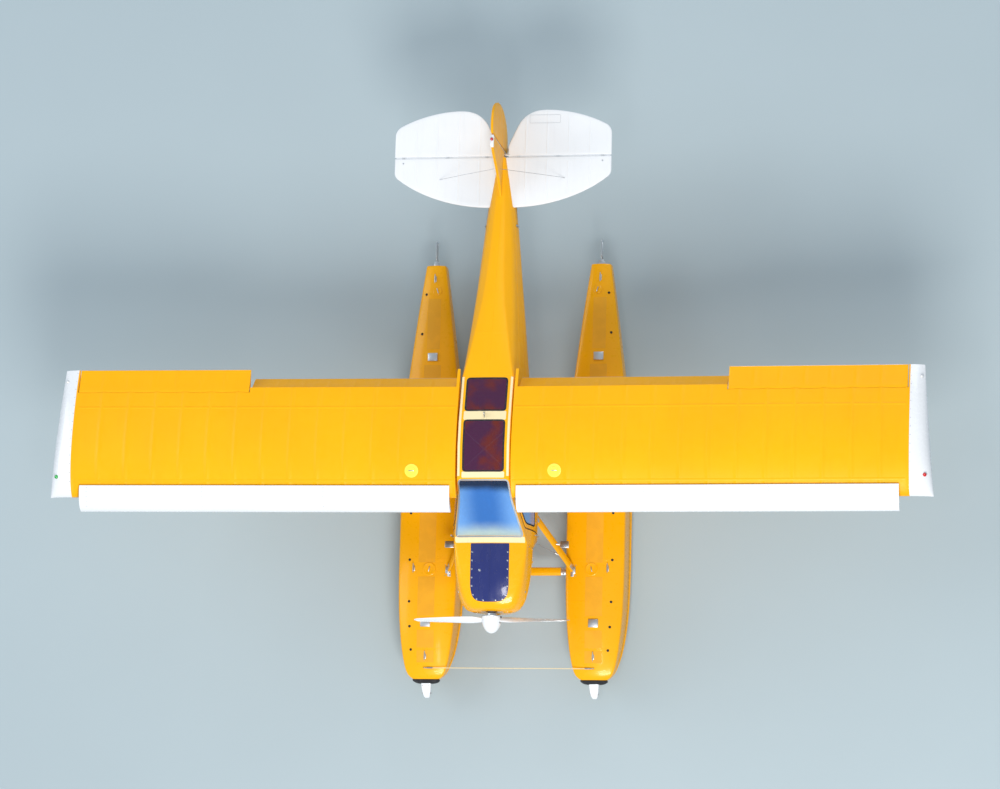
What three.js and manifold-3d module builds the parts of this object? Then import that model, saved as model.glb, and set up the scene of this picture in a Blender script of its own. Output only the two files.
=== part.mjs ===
// A two-seat, high-wing light floatplane with fixed leading-edge slats, standing on the keels of
// its two floats. Millimetres, +Z up, nose towards -Y, the plane's left side at +X.
// Stations run aft along Y from the float bows. The whole group is then shifted along Y so that
// the origin is the middle of the plane's box, at the height of the keels.
import * as THREE from "three";
import { mergeVertices } from "three/addons/utils/BufferGeometryUtils.js";
import Module from "manifold-3d";

const wasm = await Module();
wasm.setup();

// Driving dimensions, in millimetres and degrees.
const GAP = 0.4; // between faces that rest on each other
const JOINT_GAP = 6; // round a moving panel
const FAR = 3000; // a reach past everything in a cut

const WING = {
  root: 290,
  leadingEdge: 1753,
  height: 2330,
  chord: 1427,
  thickness: 0.15,
  camber: 0.04,
  camberAt: 0.4,
  incidence: 2.5,
  dihedral: 1,
  panel: 4270,
  tipAtLeadingEdge: 250,
  tipAtTrailingEdge: 150,
};
const HINGE = WING.chord * 0.82; // chordwise place of the flap and aileron hinges
const FLAP = { from: 55, to: 2316, hingeZ: 23, nose: 30, lip: 1215, down: 38 };
const AILERON = { from: 2336, to: 4245, hingeZ: 29, nose: 39 };
const END_GAP = 10; // beside a control surface's ends, bridged by its hinge bosses
const HINGE_BOSS = 10;
const FUEL_CAP = { x: 490, y: 270, radius: 42, proud: 11 };
const SLAT = { from: 75, to: 4165, brackets: [150, 1450, 2790, 4080], bracketWidth: 8 };

const FLOAT = { centre: 950, length: 4720, step: 2350, keelHalf: 14 };
const PADS = [620, 3650]; // stations of the flat mooring pads on each deck
const SHELL = 25; // cabin wall
const GLASS = 6; // measured vertically on the sloping panes
const FIREWALL = 1326;
const WINDSCREEN_TOP = 1949;
const CABIN_END = 3100;
const TAIL_POST = 5745;
const PROP = { axisZ: 1670, station: 516, radius: 860, hub: 58, spinner: 112, tip: 369 };
const TAIL = { z: 1700, half: 17, hinge: 5705, rudderHinge: 5787, tube: 16, rudderBottom: 1475 };
const BOW_FITTING = -200;
const TAIL_END = 6214;
const MIDDLE = (BOW_FITTING + TAIL_END) / 2;

const COLOURS = {
  yellow: { color: 0xf5b400, roughness: 0.35, metalness: 0 },
  white: { color: 0xf4f4f2, roughness: 0.4, metalness: 0 },
  dark: { color: 0x10141f, roughness: 0.45, metalness: 0 },
  glass: { color: 0xa9cfe8, roughness: 0.05, metalness: 0, transparent: true, opacity: 0.35 },
  smoked: { color: 0x2a1626, roughness: 0.08, metalness: 0, transparent: true, opacity: 0.6 },
  metal: { color: 0xc9ccd0, roughness: 0.35, metalness: 1 },
  iron: { color: 0x3b3d40, roughness: 0.6, metalness: 0.8 },
  rubber: { color: 0x15161a, roughness: 0.85, metalness: 0 },
  seat: { color: 0x6b1d1a, roughness: 0.8, metalness: 0 },
};
const MATERIALS = Object.fromEntries(
  Object.entries(COLOURS).map(([name, look]) => [name, new THREE.MeshStandardMaterial(look)]),
);

// A three.js geometry as a manifold solid, turned to face outwards.
function solid(geometry) {
  const bare = geometry.clone();
  bare.deleteAttribute("normal");
  bare.deleteAttribute("uv");
  const merged = mergeVertices(bare, 1e-4);
  const triVerts = new Uint32Array(merged.index.array);
  const position = merged.getAttribute("position");
  const [a, b, c] = [new THREE.Vector3(), new THREE.Vector3(), new THREE.Vector3()];
  let volume = 0;
  for (let i = 0; i < triVerts.length; i += 3) {
    a.fromBufferAttribute(position, triVerts[i]);
    b.fromBufferAttribute(position, triVerts[i + 1]);
    c.fromBufferAttribute(position, triVerts[i + 2]);
    volume += a.dot(b.cross(c));
  }
  if (volume < 0)
    for (let i = 0; i < triVerts.length; i += 3)
      [triVerts[i + 1], triVerts[i + 2]] = [triVerts[i + 2], triVerts[i + 1]];
  return new wasm.Manifold(
    new wasm.Mesh({ numProp: 3, vertProperties: new Float32Array(position.array), triVerts }),
  );
}

// A manifold solid as a named mesh in a group.
function add(group, name, made, material) {
  const { vertProperties, triVerts } = made.getMesh();
  const geometry = new THREE.BufferGeometry();
  geometry.setAttribute("position", new THREE.BufferAttribute(new Float32Array(vertProperties), 3));
  geometry.setIndex(new THREE.BufferAttribute(new Uint32Array(triVerts), 1));
  geometry.computeVertexNormals();
  const mesh = new THREE.Mesh(geometry, MATERIALS[material]);
  mesh.name = name;
  group.add(mesh);
  return mesh;
}

const union = (pieces) => pieces.reduce((whole, piece) => whole.add(piece));
const moved = (made, x, y, z) => made.translate([x, y, z]);
const mirrored = (made) => made.mirror([1, 0, 0]);
const placed = (made, matrix) => made.transform(matrix.toArray());
const shapeOf = (points) => new THREE.Shape(points.map(([a, b]) => new THREE.Vector2(a, b)));
const radians = THREE.MathUtils.degToRad;

// What is left of a piece beside its neighbour, with a small gap along the given direction.
function clearOf(piece, neighbour, x, y, z) {
  return piece.subtract(neighbour).subtract(moved(neighbour, x, y, z));
}

// An outline in station and height, made solid across the plane from x0 to x1.
function acrossX(outline, x0, x1, curveSegments = 8) {
  const shape = Array.isArray(outline) ? shapeOf(outline) : outline;
  const geometry = new THREE.ExtrudeGeometry(shape, {
    depth: x1 - x0,
    bevelEnabled: false,
    curveSegments,
  });
  const turn = new THREE.Matrix4().makeBasis(
    new THREE.Vector3(0, 1, 0),
    new THREE.Vector3(0, 0, 1),
    new THREE.Vector3(1, 0, 0),
  );
  return moved(solid(geometry.applyMatrix4(turn)), x0, 0, 0);
}

// An outline in plan, x and station, made solid from z0 to z1.
function upZ(outline, z0, z1) {
  const shape = Array.isArray(outline) ? shapeOf(outline) : outline;
  const geometry = new THREE.ExtrudeGeometry(shape, { depth: z1 - z0, bevelEnabled: false });
  return moved(solid(geometry), 0, 0, z0);
}

function box(x0, x1, y0, y1, z0, z1) {
  const made = solid(new THREE.BoxGeometry(x1 - x0, y1 - y0, z1 - z0));
  return moved(made, (x0 + x1) / 2, (y0 + y1) / 2, (z0 + z1) / 2);
}

// A cylinder along Y, Z or X from its centre.
function cylinder(radius, length, axis, x, y, z, segments = 20) {
  const geometry = new THREE.CylinderGeometry(radius, radius, length, segments);
  if (axis === "z") geometry.rotateX(Math.PI / 2);
  if (axis === "x") geometry.rotateZ(Math.PI / 2);
  return moved(solid(geometry), x, y, z);
}

// A closed skin through rings of points, with flat ends. The two sides of the plane are mirror
// images, so the skin's diagonals are mirrored too.
function loft(rings) {
  const count = rings[0].length;
  const position = rings.flat().flatMap((p) => [p.x, p.y, p.z]);
  const index = [];
  for (let r = 0; r + 1 < rings.length; r++)
    for (let i = 0; i < count; i++) {
      const a = r * count + i;
      const b = r * count + ((i + 1) % count);
      if (rings[r][i].x + rings[r][(i + 1) % count].x < 0)
        index.push(a, b, a + count, b, b + count, a + count);
      else index.push(a, b, b + count, a, b + count, a + count);
    }
  const flat = new THREE.Box3().setFromPoints(rings[0]).getSize(new THREE.Vector3());
  const across = flat.x < flat.y ? "x" : "y";
  const [u, v] = across === "x" ? ["y", "z"] : ["x", "z"];
  const last = (rings.length - 1) * count;
  for (const [ring, start, flip] of [
    [rings[0], 0, false],
    [rings.at(-1), last, true],
  ]) {
    const outline = ring.map((p) => new THREE.Vector2(p[u], p[v]));
    const ccw = THREE.ShapeUtils.area(outline) > 0;
    for (const [a, b, c] of THREE.ShapeUtils.triangulateShape(outline, []))
      if (ccw === flip) index.push(start + a, start + b, start + c);
      else index.push(start + a, start + c, start + b);
  }
  const geometry = new THREE.BufferGeometry();
  geometry.setAttribute("position", new THREE.Float32BufferAttribute(position, 3));
  geometry.setIndex(index);
  return solid(geometry);
}

// A streamlined bar between two points, its chord lying fore and aft.
function strut(from, to, chord, thickness, segments = 10) {
  const [start, end] = [new THREE.Vector3(...from), new THREE.Vector3(...to)];
  const along = end.clone().sub(start);
  const length = along.length();
  along.normalize();
  const aft = Math.abs(along.y) > 0.99 ? new THREE.Vector3(0, 0, 1) : new THREE.Vector3(0, 1, 0);
  aft.addScaledVector(along, -aft.dot(along)).normalize();
  const side = new THREE.Vector3().crossVectors(along, aft);
  const section = new THREE.Shape();
  section.absellipse(0, 0, chord / 2, thickness / 2, 0, 2 * Math.PI);
  const geometry = new THREE.ExtrudeGeometry(section, {
    depth: length,
    bevelEnabled: false,
    curveSegments: segments,
  });
  geometry.applyMatrix4(new THREE.Matrix4().makeBasis(aft, side, along).setPosition(start));
  return solid(geometry);
}

// A point a little before the first of two, on the line through both.
function backFrom(from, to, distance) {
  const start = new THREE.Vector3(...from);
  const back = start.clone().sub(new THREE.Vector3(...to)).setLength(distance);
  return start.add(back).toArray();
}

// A mirrored ring from the points of its left half, which run from the bottom to the top.
function wholeRing(half, station) {
  const left = half.map(([x, z]) => new THREE.Vector3(x, station, z));
  const right = half
    .filter(([x]) => x > 0)
    .reverse()
    .map(([x, z]) => new THREE.Vector3(-x, station, z));
  return [...left, ...right];
}

// Rows of a table at any station, by straight lines between them.
function rowAt(table, station) {
  const next = table.findIndex((row) => row[0] >= station);
  if (next <= 0) return table[next < 0 ? table.length - 1 : 0];
  const [a, b] = [table[next - 1], table[next]];
  const share = (station - a[0]) / (b[0] - a[0]);
  return a.map((value, i) => value + (b[i] - value) * share);
}

// A table with rows added between its own, on smooth curves through them.
function refined(table, steps) {
  const slope = (i, column) => {
    const [before, after] = [table[Math.max(i - 1, 0)], table[Math.min(i + 1, table.length - 1)]];
    return (after[column] - before[column]) / (after[0] - before[0]);
  };
  const rows = [table[0]];
  for (let i = 0; i + 1 < table.length; i++) {
    const [low, high] = [table[i], table[i + 1]];
    const span = high[0] - low[0];
    for (let step = 1; step <= steps; step++) {
      const share = step / steps;
      const [square, cubic] = [share ** 2, share ** 3];
      const curve = (value, column) =>
        (2 * cubic - 3 * square + 1) * value +
        (cubic - 2 * square + share) * span * slope(i, column) +
        (3 * square - 2 * cubic) * high[column] +
        (cubic - square) * span * slope(i + 1, column);
      rows.push(low.map((value, column) => (column ? curve(value, column) : value + span * share)));
    }
  }
  return rows;
}

// A path whose corners are rounded, each by its own reach along the path.
function softened(points, reaches) {
  return points.flatMap(([a, b], i) => {
    const reach = reaches[i];
    if (!reach) return [[a, b]];
    const corner = new THREE.Vector2(a, b);
    const [start, end] = [points[i - 1], points[i + 1]].map(([c, d]) => {
      const other = new THREE.Vector2(c, d);
      return corner.clone().lerp(other, Math.min(reach / corner.distanceTo(other), 0.46));
    });
    const steps = Math.max(2, Math.round(reach / 65));
    return new THREE.QuadraticBezierCurve(start, corner, end).getPoints(steps).map((p) => p.toArray());
  });
}

// The fuselage: at each station the half width and height of the bottom corner, the elbow, the
// shoulder and the top edge, and the rise of the crown over the top edge.
const FUSELAGE = [
  // station, bottomW, bottomZ, elbowW, elbowZ, shoulderW, shoulderZ, topW, topZ, crown
  [FIREWALL, 330, 1180, 440, 1620, 405, 1842, 398, 1862, 33],
  [1450, 390, 1120, 470, 1620, 379, 1957, 372, 1977, 33],
  [1744, 390, 1120, 470, 1620, 305, 2230, 298, 2250, 30],
  [WINDSCREEN_TOP, 390, 1120, 470, 1620, 300, 2250, 289.6, 2436, 14],
  [2300, 388, 1120, 468, 1620, 300, 2250, 289.6, 2456, 14],
  [2577, 354, 1149, 428, 1626, 298, 2248, 289.6, 2422, 14],
  [CABIN_END, 290, 1210, 345, 1640, 292, 2232, 280, 2284, 14],
];
const TAIL_CONE_ROWS = [
  [CABIN_END, 290, 1210, 345, 1640, 292, 2232, 280, 2284, 14],
  [3300, 277, 1234, 330, 1636, 272, 2172, 236, 2238, 18],
  [4080, 215, 1330, 265, 1622, 208, 1950, 120, 2034, 26],
  [5100, 120, 1455, 165, 1622, 120, 1752, 60, 1800, 14],
  [5665, 35, 1500, 48, 1632, 40, 1735, 22, 1762, 6],
];
const TAIL_CONE = refined(TAIL_CONE_ROWS, 2);

// How far the rounding of each corner reaches, and the share of a wall's inset that it loses.
const ROUNDING = [
  [0, 0],
  [50, 0.85],
  [260, 0.2],
  [60, 0.1],
  [30, 0.8],
  [0, 0],
  [0, 0],
  [0, 0],
];

function fuselageRing(row, inset) {
  const [station, bottomW, bottomZ, elbowW, elbowZ, shoulderW, shoulderZ, topW, topZ, crown] = row;
  const [edgeW, edgeZ] = [topW - inset, topZ - inset];
  const half = [
    [0, bottomZ + inset],
    [bottomW - 0.9 * inset, bottomZ + inset],
    [elbowW - inset, elbowZ],
    [shoulderW - 0.75 * inset, shoulderZ - inset],
    [edgeW, edgeZ],
    [edgeW * 0.72, edgeZ + crown * 0.52],
    [edgeW * 0.38, edgeZ + crown * 0.87],
    [0, edgeZ + crown],
  ];
  return wholeRing(softened(half, ROUNDING.map(([reach, loss]) => reach && reach - loss * inset)), station);
}

function fuselageLoft(table, inset, from, to) {
  const between = table.filter(([station]) => station > from && station < to);
  const rows = [rowAt(table, from), ...between, rowAt(table, to)];
  return loft(
    rows.map((row, i) => {
      const station = i === 0 ? from : i === rows.length - 1 ? to : row[0];
      return fuselageRing([station, ...row.slice(1)], inset);
    }),
  );
}

const hull = fuselageLoft(FUSELAGE, 0, FIREWALL, CABIN_END);
const cabinRoom = fuselageLoft(FUSELAGE, SHELL, FIREWALL + SHELL, CABIN_END - SHELL);
const glassSkin = hull.subtract(
  fuselageLoft(FUSELAGE, GLASS, FIREWALL + GLASS, CABIN_END - GLASS),
);
const doorSkin = hull.subtract(
  fuselageLoft(FUSELAGE, SHELL - 1, FIREWALL + SHELL, CABIN_END - SHELL),
);
const coneHull = fuselageLoft(TAIL_CONE, 0, CABIN_END + GAP, TAIL_CONE.at(-1)[0]);

// Openings in the cabin, as outlines: the roof panes in plan, the sides in station and height.
const WINDSCREEN = [
  [358, 1400],
  [347, 1450],
  [274, 1744],
  [262, 1925],
];
const SKYLIGHTS = { front: [2034, 2577], rear: [2704, 3060] };
const SKYLIGHT_HALF = 212;
const DOOR = [
  [1490, 1185],
  [2240, 1185],
  [2240, 2215],
  [1800, 2215],
  [1490, 1925],
];
const DOOR_HINGE = { x: 311, z: 2224, knuckles: [1850, 2150], length: 40, radius: 8 };
const DOOR_WINDOW = [
  [1550, 1655],
  [2185, 1655],
  [2185, 2165],
  [1826, 2165],
  [1550, 1906],
];
const REAR_WINDOW = [
  [2310, 1700],
  [2560, 1700],
  [2980, 2080],
  [2980, 2170],
  [2310, 2170],
];

// An outline moved inwards by a distance, corner by corner.
function insetOutline(points, distance) {
  const area = THREE.ShapeUtils.area(points.map(([a, b]) => new THREE.Vector2(a, b)));
  const turn = Math.sign(area) * distance;
  return points.map(([a, b], i) => {
    const [pa, pb] = points.at(i - 1);
    const [na, nb] = points[(i + 1) % points.length];
    const before = new THREE.Vector2(a - pa, b - pb).normalize();
    const after = new THREE.Vector2(na - a, nb - b).normalize();
    const inward = new THREE.Vector2(-before.y - after.y, before.x + after.x).normalize();
    const reach = turn / Math.sqrt((1 + before.dot(after)) / 2);
    return [a + inward.x * reach, b + inward.y * reach];
  });
}

const bothSides = (half) => [...half, ...half.map(([x, y]) => [-x, y]).reverse()];
const skylight = ([from, to], grow) => [
  [SKYLIGHT_HALF - grow, from + grow],
  [SKYLIGHT_HALF - grow, to - grow],
  [-SKYLIGHT_HALF + grow, to - grow],
  [-SKYLIGHT_HALF + grow, from + grow],
];
const ROOF_CUT_Z = 2240;

function cabin() {
  let shell = hull.subtract(cabinRoom).subtract(upZ(bothSides(WINDSCREEN), 1800, FAR));
  for (const span of Object.values(SKYLIGHTS))
    shell = shell.subtract(upZ(skylight(span, 0), ROOF_CUT_Z, FAR));
  for (const outline of [DOOR, REAR_WINDOW]) {
    const cut = acrossX(outline, 240, FAR);
    shell = shell.subtract(cut).subtract(mirrored(cut));
  }
  const { x, z, knuckles, length } = DOOR_HINGE;
  for (const from of knuckles) {
    const notch = box(x - 13, x + 40, from - GAP, from + length + GAP, 2205, z + 14);
    shell = shell.subtract(notch).subtract(mirrored(notch));
  }
  return shell;
}

function glassPanes(group) {
  const plan = insetOutline(bothSides(WINDSCREEN), GAP);
  add(group, "windscreen", glassSkin.intersect(upZ(plan, 1800, FAR)), "glass");
  for (const [name, span] of Object.entries(SKYLIGHTS)) {
    const pane = glassSkin.intersect(upZ(skylight(span, GAP), ROOF_CUT_Z, FAR));
    add(group, "skylight_" + name, pane, "smoked");
  }
}

function door() {
  const [sill, rear, top] = [DOOR[0][1], DOOR[1][0], DOOR[2][1]];
  const slantGap = 14; // the slanting edge rises towards its jamb as the door starts to open
  const outline = [
    [DOOR[0][0] + JOINT_GAP, sill + JOINT_GAP],
    [rear - JOINT_GAP, sill + JOINT_GAP],
    [rear - JOINT_GAP, top - JOINT_GAP],
    [DOOR[3][0] + slantGap, top - JOINT_GAP],
    [DOOR[4][0] + JOINT_GAP, DOOR[4][1] - slantGap],
  ];
  const panel = doorSkin.intersect(acrossX(outline, 240, FAR));
  const { x, z, knuckles, length, radius } = DOOR_HINGE;
  const hinges = knuckles.flatMap((from) => [
    cylinder(radius, length, "y", x, from + length / 2, z, 16),
    box(x - 7, x + 1, from, from + length, 2200, z),
  ]);
  return union([panel.subtract(acrossX(DOOR_WINDOW, 240, FAR)), ...hinges]);
}

const sidePane = (outline) => glassSkin.intersect(acrossX(insetOutline(outline, GAP), 240, FAR));

// The cowl: the same columns as the fuselage, from the nose bowl back to the firewall.
const COWL_ROWS = [
  [604, 140, 1400, 262, 1600, 205, 1722, 165, 1758, 26],
  [640, 185, 1335, 318, 1600, 258, 1752, 215, 1795, 30],
  [730, 240, 1265, 372, 1602, 316, 1782, 268, 1826, 36],
  [900, 290, 1212, 410, 1608, 362, 1808, 325, 1846, 38],
  [1120, 320, 1186, 432, 1616, 392, 1828, 370, 1856, 36],
  [FIREWALL, 330, 1180, 440, 1620, 405, 1842, 398, 1862, 33],
];
const COWL = refined(COWL_ROWS, 2);
// The nose bowl's round edge: how far behind its face, and how far inside the skin.
const NOSE_EDGE = [
  [0, 26],
  [6, 12],
  [24, 0],
];
const COWL_SKIN = 9;
const DARK_PANEL = { half: 212, from: 690, z: 1700 };
const INLETS = [
  // x, z, radius
  [168, 1655, 50],
  [-168, 1655, 50],
  [0, 1478, 66],
];
const SHAFT = 44;

function cowl(group) {
  const end = FIREWALL - GAP;
  const front = COWL[0][0];
  const bowl = NOSE_EDGE.map(([back, inset]) => {
    const row = rowAt(COWL, front + back);
    return fuselageRing([front + back, ...row.slice(1)], inset);
  });
  const behind = COWL.filter(([station]) => station > front + NOSE_EDGE.at(-1)[0] && station < end);
  const last = [end, ...rowAt(COWL, end).slice(1)];
  const outside = loft([...bowl, ...[...behind, last].map((row) => fuselageRing(row, 0))]);
  const inner = COWL_ROWS.slice(1, -1).map(([station]) => station);
  const room = loft([
    fuselageRing([front + COWL_SKIN, ...rowAt(COWL, front + COWL_SKIN).slice(1)], NOSE_EDGE[0][1]),
    ...[...inner, end + 20].map((station) =>
      fuselageRing([station, ...rowAt(COWL, station).slice(1)], COWL_SKIN),
    ),
  ]);
  let skin = outside.subtract(room);
  for (const [x, z, radius] of INLETS)
    skin = skin.subtract(cylinder(radius, 80, "y", x, front, z, 24));
  skin = skin.subtract(cylinder(SHAFT + 26, 120, "y", 0, front, PROP.axisZ, 24));
  skin = skin.subtract(box(-170, 170, 1130, FIREWALL - 30, 1100, 1300));
  const panel = (grow) =>
    box(
      -DARK_PANEL.half + grow,
      DARK_PANEL.half - grow,
      DARK_PANEL.from + grow,
      FAR,
      DARK_PANEL.z,
      FAR,
    );
  add(group, "cowl", skin.subtract(panel(0)), "yellow");
  add(group, "cowl_top_panel", skin.intersect(panel(GAP)), "dark");
}

const ENGINE = { half: 235, from: 790, to: 1250, bottom: 1420, top: 1745 };

function engine(group) {
  const { half, from, to, bottom, top } = ENGINE;
  const mountHalf = 160;
  const shaftFrom = PROP.station + 68;
  const block = union([
    box(-half, half, from, to, bottom, top),
    box(-mountHalf, mountHalf, to - 1, FIREWALL - GAP, bottom + 40, top - 40),
    cylinder(SHAFT, from + 1 - shaftFrom, "y", 0, (from + 1 + shaftFrom) / 2, PROP.axisZ),
  ]);
  add(group, "engine_block", block, "iron");
  const route = new THREE.CatmullRomCurve3([
    new THREE.Vector3(90, 1190, bottom + 6),
    new THREE.Vector3(90, 1195, 1300),
    new THREE.Vector3(92, 1215, 1190),
    new THREE.Vector3(96, 1290, 1100),
  ]);
  const ring = new THREE.Shape();
  ring.absarc(0, 0, 27, 0, 2 * Math.PI);
  const pipe = new THREE.ExtrudeGeometry(ring, { steps: 10, extrudePath: route, curveSegments: 6 });
  add(group, "exhaust_pipe", clearOf(solid(pipe), block, 0, 0, -GAP), "metal");
}

// One blade as sections along its length: radius, chord, thickness, pitch in degrees.
const BLADE = [
  [30, 52, 46, 60],
  [110, 62, 36, 48],
  [220, 104, 22, 36],
  [400, 118, 15, 26],
  [600, 108, 11, 20],
  [780, 84, 8, 16],
  [PROP.radius, 46, 5, 14],
];

function blade() {
  const rings = BLADE.map(([radius, chord, thickness, pitch]) => {
    const points = [];
    for (let i = 0; i < 12; i++) {
      const turn = (i / 12) * 2 * Math.PI;
      const [c, t] = [(Math.cos(turn) * chord) / 2, (Math.sin(turn) * thickness) / 2];
      const p = radians(pitch);
      points.push(
        new THREE.Vector3(radius, -c * Math.sin(p) + t * Math.cos(p), c * Math.cos(p) + t * Math.sin(p)),
      );
    }
    return points;
  });
  return loft(rings);
}

function propeller(group) {
  const one = blade();
  const other = one.rotate([0, 180, 0]);
  const rearOfHub = PROP.station + 68 - GAP;
  const plateRear = PROP.station + 40;
  const hub = union([
    cylinder(PROP.hub, rearOfHub - (PROP.station - 48), "y", 0, (rearOfHub + PROP.station - 48) / 2, 0),
    cylinder(PROP.spinner, 6, "y", 0, plateRear - 3, 0, 32),
  ]);
  const whole = union([moved(one, 0, PROP.station, 0), moved(other, 0, PROP.station, 0), hub]);
  add(group, "propeller", moved(whole, 0, 0, PROP.axisZ), "dark");
  const back = plateRear - 6 - GAP;
  const outline = new THREE.EllipseCurve(0, 0, PROP.spinner, back - PROP.tip, 0, Math.PI / 2)
    .getPoints(8)
    .map((p) => new THREE.Vector2(p.x, p.y));
  const profile = [new THREE.Vector2(0, 0), ...outline.slice(0, -1), new THREE.Vector2(0, back - PROP.tip)];
  const dome = solid(new THREE.LatheGeometry(profile, 32)).rotate([180, 0, 0]);
  const bore = cylinder(PROP.hub + 3, 200, "y", 0, back - 100 + 72, 0);
  const slots = box(-200, 200, PROP.station - 40, back + 10, -48, 48);
  const spinner = moved(dome, 0, back, 0).subtract(bore).subtract(slots);
  add(group, "spinner", moved(spinner, 0, 0, PROP.axisZ), "white");
}

// Cabin furniture, as outlines in station and height.
const furnishingRoom = fuselageLoft(
  FUSELAGE,
  SHELL + GAP,
  FIREWALL + SHELL + GAP,
  CABIN_END - SHELL - GAP,
);
const INSTRUMENT_BOARD = [
  [1520, 1590],
  [1552, 1590],
  [1540, 1870],
  [1560, 1884],
  [1552, 1896],
  [1352, 1868],
  [1352, 1856],
  [1512, 1868],
];
const SEAT = [
  [1975, 1145.4],
  [2235, 1145.4],
  [2300, 1290],
  [2425, 1300],
  [2660, 1950],
  [2640, 1990],
  [2575, 1990],
  [2345, 1420],
  [1930, 1440],
  [1915, 1360],
  [1975, 1320],
];
const SEAT_X = [22, 400];

// The steel tube frame that shows through the roof panes: rails, cross tubes, a crossed pair and
// the posts behind the seats.
const FRAME_TUBE = 9;
const RAILS = [
  // x, station, z
  [250, 1985, 2398],
  [250, 2480, 2398],
  [250, 2577, 2387.4],
  [250, 2690, 2357],
];
const POSTS = [RAILS.at(-1), [338, 2690, 1640], [300, 2690, 1150]];
const CROSS = { half: 290, z: 2392, stations: [2050, 2500] };

function cabinFrame() {
  const ends = (points) => points.slice(1).map((end, i) => [points[i], end]);
  const { half, z, stations } = CROSS;
  const [front, rear] = stations;
  const tubes = [-1, 1].flatMap((side) => [
    ...ends(RAILS.map(([x, ...rest]) => [side * x, ...rest])),
    ...ends(POSTS.map(([x, ...rest]) => [side * x, ...rest])),
    [[side * RAILS[0][0], front, z], [-side * RAILS[0][0], rear, z]],
  ]);
  for (const [, station, height] of [[0, front, z], RAILS[0], RAILS.at(-1)])
    tubes.push([[-half, station, height], [half, station, height]]);
  const lap = FRAME_TUBE / 2;
  const round = tubes.map(([start, end]) =>
    strut(backFrom(start, end, lap), backFrom(end, start, lap), 2 * FRAME_TUBE, 2 * FRAME_TUBE, 4),
  );
  return union(round).intersect(furnishingRoom);
}

// The wing's own frame: x along the span, y back from the leading edge, z up.
const wingFrame = new THREE.Group();
wingFrame.position.set(WING.root, WING.leadingEdge, WING.height);
wingFrame.rotation.order = "YXZ";
wingFrame.rotation.set(-radians(WING.incidence), -radians(WING.dihedral), 0);
wingFrame.updateMatrix();
const onWing = (x, y, z) =>
  new THREE.Vector3(x, y, z).applyMatrix4(wingFrame.matrix).toArray();

// Wing sections, chordwise from the leading edge, from the usual four-figure formula.
function camberAndHalf(u) {
  const { camber, camberAt: p, thickness } = WING;
  const line =
    u < p
      ? (camber / p ** 2) * (2 * p * u - u * u)
      : (camber / (1 - p) ** 2) * (1 - 2 * p + 2 * p * u - u * u);
  const half =
    5 *
    thickness *
    (0.2969 * Math.sqrt(u) - 0.126 * u - 0.3516 * u ** 2 + 0.2843 * u ** 3 - 0.1015 * u ** 4);
  return [line * WING.chord, half * WING.chord];
}

function airfoil(steps = 13) {
  const at = (i, sign) => {
    const u = (1 - Math.cos((Math.PI * i) / steps)) / 2;
    const [line, half] = camberAndHalf(u);
    return [u * WING.chord, line + sign * half];
  };
  const upper = Array.from({ length: steps + 1 }, (_, i) => at(steps - i, 1));
  const lower = Array.from({ length: steps }, (_, i) => at(i + 1, -1));
  return [...upper, ...lower];
}

function disc(y, z, radius) {
  const shape = new THREE.Shape();
  shape.absarc(y, z, radius, 0, 2 * Math.PI);
  return shape;
}

function wingPanel() {
  const body = placed(hull, wingFrame.matrix.clone().invert());
  const full = clearOf(acrossX(airfoil(), 1, WING.panel), body, GAP, 0, 0);
  const flapBay = [
    [HINGE, -100],
    [1600, -100],
    [1600, 200],
    [FLAP.lip, 200],
    [FLAP.lip, 54.5],
    [HINGE, FLAP.hingeZ + FLAP.nose + 8],
  ];
  const aileronBay = [
    [HINGE, -100],
    [1600, -100],
    [1600, 200],
    [HINGE, 200],
  ];
  const [inner, outer] = [FLAP.from - END_GAP, AILERON.to + END_GAP];
  const split = (FLAP.to + AILERON.from) / 2;
  const cut = full
    .subtract(acrossX(flapBay, inner, split))
    .subtract(acrossX(disc(HINGE, FLAP.hingeZ, FLAP.nose + 8), inner, split, 12))
    .subtract(acrossX(aileronBay, split, outer))
    .subtract(acrossX(disc(HINGE, AILERON.hingeZ, AILERON.nose + 7), split, outer, 12));
  const ribHalf = 3;
  const rib = [
    [HINGE - 70, 0],
    [HINGE + 10, 8],
    [HINGE + 10, 44],
    [HINGE - 70, 56],
  ];
  const bosses = [
    // from, to, height
    [inner - 2, FLAP.from - GAP, FLAP.hingeZ],
    [FLAP.to + GAP, split, FLAP.hingeZ],
    [split, AILERON.from - GAP, AILERON.hingeZ],
    [AILERON.to + GAP, outer + 2, AILERON.hingeZ],
  ].map(([from, to, z]) => cylinder(HINGE_BOSS, to - from, "x", (from + to) / 2, HINGE, z, 16));
  const { x, y, radius, proud } = FUEL_CAP;
  const [line, half] = camberAndHalf(y / WING.chord);
  const cap = cylinder(radius, proud + 20, "z", x, y, line + half + (proud - 20) / 2, 20);
  return union([cut, acrossX(rib, split - ribHalf, split + ribHalf), cap, ...bosses]);
}

// A flap or aileron about its own hinge: a round nose that tapers to the trailing edge.
function controlSurface({ from, to, hingeZ, nose }) {
  const edge = WING.chord - HINGE;
  const shape = new THREE.Shape();
  shape.moveTo(edge, 2 - hingeZ);
  shape.lineTo(nose * 0.2, nose * 0.98);
  shape.absarc(0, 0, nose, Math.PI * 0.44, Math.PI * 1.56, false);
  shape.lineTo(edge, -2 - hingeZ);
  shape.closePath();
  return acrossX(shape, from, to, 10);
}

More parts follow.
